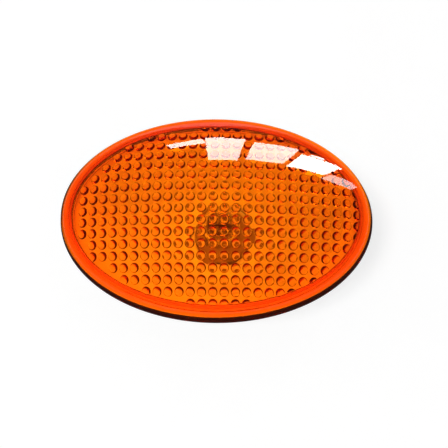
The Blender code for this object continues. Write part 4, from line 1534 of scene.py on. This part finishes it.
@dataclass
class WedgeBulb:
    """The clear wedge bulb: pressed flat base, round body, and a wire with its coil inside."""

    base_z: float = 0.0109
    length: float = 0.0268
    radius: float = 0.0050
    glass: float = 0.0006
    base_half_width: float = 0.0045
    base_half_thickness: float = 0.0011
    base_length: float = 0.0068
    taper: float = 0.0028
    channel_half_width: float = 0.0031
    channel_half_thickness: float = 0.0006
    lead_radius: float = 0.00025
    lead_spacing: float = 0.0048
    lead_fold: float = 0.0036
    filament_height: float = 0.0135
    coil_radius: float = 0.00040
    coil_turns: int = 7
    thinning: float = 0.44
    coil_spans: int = 24
    base_power: float = 4.5
    base_rings: int = 4
    blend_rings: int = 14
    dome_rings: int = 12
    dome_end: float = 0.96
    sides: int = 64
    clear: ClearGlassFinish = field(default_factory=ClearGlassFinish)
    wire: SheetMetalFinish = SheetMetalFinish(
        "lead_wire", (0.50, 0.50, 0.51), (0.30, 0.29, 0.28), rolled_along((4.0, 4.0, 0.5)), 0.3
    )

    def rings(
        self, heights: np.ndarray, half_x: np.ndarray, half_y: np.ndarray, power: np.ndarray
    ) -> np.ndarray:
        """Lay out level superellipses round the bulb's axis.

        They follow x = hx |cos a|^(2/n) and y = hy |sin a|^(2/n), with the signs of cos a and sin a.

        Args:
            heights: Height of each ring.
            half_x: Half width of each ring.
            half_y: Half thickness of each ring.
            power: The n of each ring, 2 for an ellipse and more for a flatter one.

        Returns:
            Points in an array of rings by sides by 3.
        """
        angle = 2 * math.pi * (np.arange(self.sides) + 0.5) / self.sides
        exponent = (2 / power)[:, None]
        x = half_x[:, None] * np.sign(np.cos(angle)) * np.abs(np.cos(angle)) ** exponent
        y = half_y[:, None] * np.sign(np.sin(angle)) * np.abs(np.sin(angle)) ** exponent
        z = np.broadcast_to(heights[:, None], x.shape)
        return np.stack([x + SIZES.socket_x, y + SIZES.socket_y, z], axis=-1)

    def wall_rings(self, inset: float, low_x: float, low_y: float) -> tuple[np.ndarray, float]:
        """Lay out one face of the glass from its base up to just below its tip.

        The base goes over into the round body with a smooth step, and a quarter
        circle closes the top.

        Args:
            inset: How far the face lies inside the glass's outer face.
            low_x: Half width at the base.
            low_y: Half thickness at the base.

        Returns:
            The rings from the base up, and the height of the tip.
        """
        base_top = self.base_z + self.base_length + inset
        body_low = base_top + self.taper
        radius = self.radius - inset
        dome_low = self.base_z + self.length - self.radius
        blend = np.linspace(0.0, 1.0, self.blend_rings)
        smooth = blend**2 * (3 - 2 * blend)
        flat = np.zeros(self.base_rings)
        base = np.linspace(self.base_z, base_top, self.base_rings + 1)[:-1]
        turn = np.linspace(0.0, self.dome_end, self.dome_rings) * math.pi / 2
        dome = dome_low + radius * np.sin(turn)
        heights = np.concatenate([base, base_top + blend * self.taper, [(body_low + dome_low) / 2], dome])
        share = np.concatenate([flat, smooth])
        above = np.concatenate([[radius], radius * np.cos(turn)])
        half_x = np.concatenate([low_x + (radius - low_x) * share, above])
        half_y = np.concatenate([low_y + (radius - low_y) * share, above])
        power = np.concatenate([self.base_power + (2.0 - self.base_power) * share, np.full_like(above, 2.0)])
        return self.rings(heights, half_x, half_y, power), dome_low + radius

    def build_glass(self) -> bpy.types.Object:
        """Build the glass as one closed shell whose inner face meets the outer one at the open base.

        Returns:
            The glass.
        """
        draft = MeshDraft()
        outer, tip = self.wall_rings(0.0, self.base_half_width, self.base_half_thickness)
        inner, inner_tip = self.wall_rings(self.glass, self.channel_half_width, self.channel_half_thickness)
        outside = draft.add(outer)
        inside = draft.add(inner)
        draft.skin(np.concatenate([inside[::-1], outside]))
        draft.close(outside[-1], (SIZES.socket_x, SIZES.socket_y, tip))
        draft.close(inside[-1], (SIZES.socket_x, SIZES.socket_y, inner_tip))
        return draft.to_object("bulb_envelope", sharp_angle=60.0)

    def build_wire(self) -> bpy.types.Object:
        """Build both leads and the coil as one wire.

        The coil is x = -s + 2 s t, y = r sin(2 pi n t), z = r (1 - cos(2 pi n t)) + r (1 - (2t-1)^2)
        above its height, so that it is bowed up a little in its middle.

        Returns:
            The wire.
        """
        half = self.lead_spacing / 2
        fold_y = self.base_half_thickness + SIZES.gap + self.lead_radius
        low = self.base_z - SIZES.gap - self.lead_radius
        coil_z = self.base_z + self.filament_height
        corner = self.lead_radius
        lead = np.array(
            [
                (-half, fold_y, self.base_z + self.lead_fold, 1.0),
                (-half, fold_y, low + corner, 1.0),
                (-half, fold_y - corner, low, 1.0),
                (-half, corner, low, 1.0),
                (-half, 0.0, low + corner, 1.0),
                (-half, 0.0, coil_z - self.coil_radius, 1.0),
                (-half + self.lead_radius, 0.0, coil_z, self.thinning),
            ]
        )
        span = half - 3 * self.lead_radius
        share = np.linspace(0.0, 1.0, self.coil_turns * self.coil_spans + 1)
        turn = 2 * math.pi * self.coil_turns * share
        bow = self.coil_radius * (1 - (2 * share - 1) ** 2)
        coil = np.stack(
            [
                -span + 2 * span * share,
                self.coil_radius * np.sin(turn),
                coil_z + self.coil_radius * (1 - np.cos(turn)) + bow,
                np.full_like(share, self.thinning),
            ],
            axis=1,
        )
        path = np.concatenate([lead, coil, lead[::-1] * np.array([-1.0, -1.0, 1.0, 1.0])])
        path[:, :2] += (SIZES.socket_x, SIZES.socket_y)
        curve = bpy.data.curves.new("bulb_wire", "CURVE")
        curve.dimensions = "3D"
        curve.bevel_depth = self.lead_radius
        curve.bevel_resolution = 2
        curve.use_fill_caps = True
        spline = curve.splines.new("POLY")
        spline.points.add(len(path) - 1)
        points = np.column_stack([path[:, :3], np.ones(len(path))])
        spline.points.foreach_set("co", points.ravel())
        spline.points.foreach_set("radius", path[:, 3])
        return link_object("bulb_wire", curve)

    def dress(self) -> None:
        """Build the bulb's glass and wire and seat them."""
        seat_piece(self.build_glass(), "clear_glass", self.clear.material(), "bulb_glass")
        seat_piece(self.build_wire(), "lead_wire", self.wire.material(), "bulb_filament")


# The studio


@dataclass(frozen=True)
class WindowPanel:
    """One pane of the studio's window wall, as its limits on a wall across +Y."""

    low_x: float
    high_x: float
    low_z: float
    high_z: float
    radiance: float
    tilt: float = 0.0


@dataclass(frozen=True)
class SoftLamp:
    """A square lamp aimed at the rim, which mirrors don't show."""

    name: str
    place: Place
    size: float
    radiance: float
    lights_floor: bool = False


def aimed(place: Place, target: Place) -> Matrix:
    """Return the matrix of a lamp at a place, whose light runs to a target."""
    turn = (Vector(target) - Vector(place)).to_track_quat("-Z", "Y")
    return Matrix.Translation(place) @ turn.to_matrix().to_4x4()


@dataclass
class Studio:
    """Pale floor, white surround, window wall, soft lamps, and the camera."""

    wall_y: float = 0.60
    panels: tuple[WindowPanel, ...] = (
        WindowPanel(-0.208, -0.064, 0.172, 0.222, 14.0, 12.0),
        WindowPanel(-0.061, 0.082, 0.147, 0.409, 14.0),
        WindowPanel(0.115, 0.300, 0.172, 0.388, 14.0),
        WindowPanel(0.331, 0.590, 0.215, 0.410, 24.0),
        WindowPanel(0.371, 0.439, 0.189, 0.210, 20.0),
        WindowPanel(0.620, 0.960, 0.355, 0.480, 8.0),
    )
    soft_lamps: tuple[SoftLamp, ...] = (
        SoftLamp("soft_key", (-0.30, -0.10, 1.0), 0.18, 36.0, lights_floor=True),
        SoftLamp("room_glow", (0.02, 0.02, 0.75), 0.50, 2.5),
        SoftLamp("low_glow", (0.04, -0.60, 0.22), 0.35, 4.5),
    )
    spot_place: Place = (-0.02, 0.00, 0.60)
    spot_aim: Place = (-0.004, -0.006, 0.014)
    spot_angle: float = 4.4
    spot_power: float = 25.0
    spot_size: float = 0.02
    surround: float = 0.50
    overhead: float = 0.04
    horizon: float = 0.06
    horizon_band: tuple[float, float] = (0.02, 0.16)
    dusk: float = 0.42
    dusk_color: Color = (1.0, 0.16, 0.05)
    floor_size: float = 3.0
    floor_color: Color = (0.47, 0.47, 0.47)
    floor_mottle: Color = (0.49, 0.49, 0.49)
    floor_cloud: Grain = Grain(0.02, 3.0, 0.5)
    floor_lift: float = 0.62
    # Painted shadow that mirrors see on the floor near the lamp, and the distances over which it fades out.
    floor_painted_shadow: Color = (0.02, 0.02, 0.02)
    floor_painted_shadow_reach: tuple[float, float] = (0.25, 0.60)
    camera_tilt: float = 9.93
    camera_pan: float = 1.55
    camera_roll: float = 0.57
    camera_distance: float = 0.1533
    camera_shift: tuple[float, float] = (0.002240, -0.001399)
    camera_lens: float = 46.89
    camera_sensor: float = 36.0
    camera_clip: tuple[float, float] = (0.01, 20.0)
    off_floor: bpy.types.Collection = field(init=False)

    def add_lamp(
        self, light: bpy.types.Light, place: Matrix, lights_floor: bool = False
    ) -> bpy.types.Object:
        """Hang a lamp that the camera doesn't see itself.

        Args:
            light: The lamp's data.
            place: Its place, with its light along -Z.
            lights_floor: Whether its light reaches the floor.

        Returns:
            The lamp.
        """
        item = link_object(light.name, light)
        item.matrix_world = place
        item.visible_camera = False
        if not lights_floor:
            item.light_linking.receiver_collection = self.off_floor
        return item

    def area_light(self, name: str, width: float, height: float, radiance: float) -> bpy.types.Light:
        """Make a rectangular light.

        Args:
            name: Its name.
            width: Its width.
            height: Its height.
            radiance: How bright its face is, where 1 is white.

        Returns:
            The light, whose energy is pi times its radiance and area.
        """
        light = bpy.data.lights.new(name, "AREA")
        light.shape = "RECTANGLE"
        light.size = width
        light.size_y = height
        light.energy = radiance * math.pi * width * height
        return light

    def add_windows(self) -> None:
        """Hang the window panes on the wall across +Y, facing the lamp."""
        for index, panel in enumerate(self.panels, 1):
            width = panel.high_x - panel.low_x
            height = panel.high_z - panel.low_z
            middle = ((panel.low_x + panel.high_x) / 2, self.wall_y, (panel.low_z + panel.high_z) / 2)
            turn = Matrix.Rotation(math.radians(panel.tilt), 4, "Y") @ Matrix.Rotation(-math.pi / 2, 4, "X")
            light = self.area_light(f"window_{index}", width, height, panel.radiance)
            self.add_lamp(light, Matrix.Translation(middle) @ turn)

    def add_soft_lamps(self) -> None:
        """Add the key light high on the left, and the room's glow from overhead and from low at -Y."""
        for lamp in self.soft_lamps:
            light = self.area_light(lamp.name, lamp.size, lamp.size, lamp.radiance)
            item = self.add_lamp(light, aimed(lamp.place, (0.0, 0.0, SIZES.rim_z)), lamp.lights_floor)
            item.visible_glossy = False
            item.visible_transmission = False

    def add_spot(self) -> None:
        """Add the beam that falls through the dome on the bowl's floor round the socket."""
        light = bpy.data.lights.new("bowl_spot", "SPOT")
        light.energy = self.spot_power
        light.spot_size = math.radians(self.spot_angle)
        light.spot_blend = 1.0
        light.shadow_soft_size = self.spot_size
        item = self.add_lamp(light, aimed(self.spot_place, self.spot_aim))
        item.visible_glossy = False
        item.visible_transmission = False

    def floor_finish(self) -> bpy.types.Material:
        """Make the floor's material.

        The camera sees a pale sheet lifted to white, which keeps the lamp's shadow.
        Mirrors see it dark close to the lamp, a painted shadow, and other rays the plain sheet.

        Returns:
            The material.
        """
        paint = Paint("pale_floor")
        color = paint.mix(paint.noise(self.floor_cloud), self.floor_color, self.floor_mottle)
        sheet = paint.node("ShaderNodeBsdfDiffuse", None, {"Color": color})
        glow = paint.glow("ShaderNodeEmission", self.floor_lift)
        lifted = paint.node("ShaderNodeAddShader", None, {0: sheet, 1: glow})
        away = paint.node("ShaderNodeVectorMath", {"operation": "LENGTH"}, {0: paint.place()}, "Value")
        # Painted shadow that mirrors see on the floor close to the lamp.
        dark = paint.node("ShaderNodeBsdfDiffuse", None, {"Color": self.floor_painted_shadow})
        mirrored = paint.mix_shader(away.step(*self.floor_painted_shadow_reach), dark, lifted)
        return paint.finish(paint.by_ray(sheet, {Ray.CAMERA: lifted, Ray.GLOSSY: mirrored}))

    def add_floor(self) -> None:
        """Lay the floor, facing up, and note it as what all but the key light leave alone."""
        half = self.floor_size / 2
        corners = np.array([(-half, -half, 0.0), (half, -half, 0.0), (half, half, 0.0), (-half, half, 0.0)])
        draft = MeshDraft()
        draft.faces.append(draft.add(corners)[None])
        floor = draft.to_object("studio_floor")
        if floor.data.polygons[0].normal.z < 0:
            floor.data.flip_normals()
        floor.data.materials.append(self.floor_finish())
        self.off_floor = bpy.data.collections.new("lit_by_windows")
        self.off_floor.objects.link(floor)
        self.off_floor.collection_objects[0].light_linking.link_state = "EXCLUDE"

    def add_surround(self) -> None:
        """Light the studio from all round, and show it white to the camera.

        Mirrors see it dim at the horizon and darker overhead, as a room is whose
        light comes in through its windows, and glass sees it warm as at dusk.
        """
        world = bpy.data.worlds.new("studio")
        bpy.context.scene.world = world
        world.use_nodes = True
        paint = Paint.of_world(world)
        kind = "ShaderNodeBackground"
        direction = paint.node("ShaderNodeTexCoord", out="Generated")
        rise = paint.node("ShaderNodeSeparateXYZ", None, {0: direction}, "Z").step(*self.horizon_band)
        mirrored = paint.mix_shader(rise, paint.glow(kind, self.horizon), paint.glow(kind, self.overhead))
        answers = {
            Ray.CAMERA: paint.glow(kind, 1.0),
            Ray.TRANSMISSION: paint.glow(kind, self.dusk, self.dusk_color),
            Ray.GLOSSY: mirrored,
        }
        result = paint.by_ray(paint.glow(kind, self.surround), answers)
        paint.feed(paint.output.inputs["Surface"], result)

    def add_camera(self) -> None:
        """Put the camera where the photograph was taken from.

        It is turned by roll about Z, then by pan about Y and by tilt about X. In its
        own axes it stands aside by camera_shift and back by camera_distance from the
        middle of the rim's plane.
        """
        tilt = Matrix.Rotation(math.radians(self.camera_tilt), 3, "X")
        pan = Matrix.Rotation(math.radians(self.camera_pan), 3, "Y")
        roll = Matrix.Rotation(math.radians(self.camera_roll), 3, "Z")
        turn = tilt @ (pan @ roll)
        place = turn @ Vector((*self.camera_shift, self.camera_distance)) + Vector((0.0, 0.0, SIZES.rim_z))
        camera = bpy.data.cameras.new("photo_camera")
        camera.lens = self.camera_lens
        camera.sensor_width = self.camera_sensor
        camera.sensor_fit = "HORIZONTAL"
        camera.clip_start, camera.clip_end = self.camera_clip
        item = link_object("photo_camera", camera)
        item.matrix_world = Matrix.Translation(place) @ turn.to_4x4()
        bpy.context.scene.camera = item

    def set_up(self) -> None:
        """Build the studio and set how light is followed through the amber."""
        self.add_camera()
        self.add_floor()
        self.add_surround()
        self.add_windows()
        self.add_soft_lamps()
        self.add_spot()
        scene = bpy.context.scene
        scene.view_settings.view_transform = "Standard"
        cycles = scene.cycles
        cycles.max_bounces = 24
        cycles.transmission_bounces = 20
        cycles.diffuse_bounces = 8
        cycles.glossy_bounces = 8
        cycles.transparent_max_bounces = 24
        cycles.blur_glossy = 0.0


def main() -> None:
    """Load the frame, set up the studio, and build every sub-assembly in order."""
    logging.basicConfig(level=logging.INFO, format="%(message)s")
    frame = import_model()
    Studio().set_up()
    AmberLens().dress()
    BowlHousing().dress()
    FenderGasket().dress()
    TwistLockHolder().dress(frame)
    LeafSpring().dress(frame)
    WedgeBulb().dress()
    bpy.context.view_layer.update()


if __name__ == "__main__":
    main()
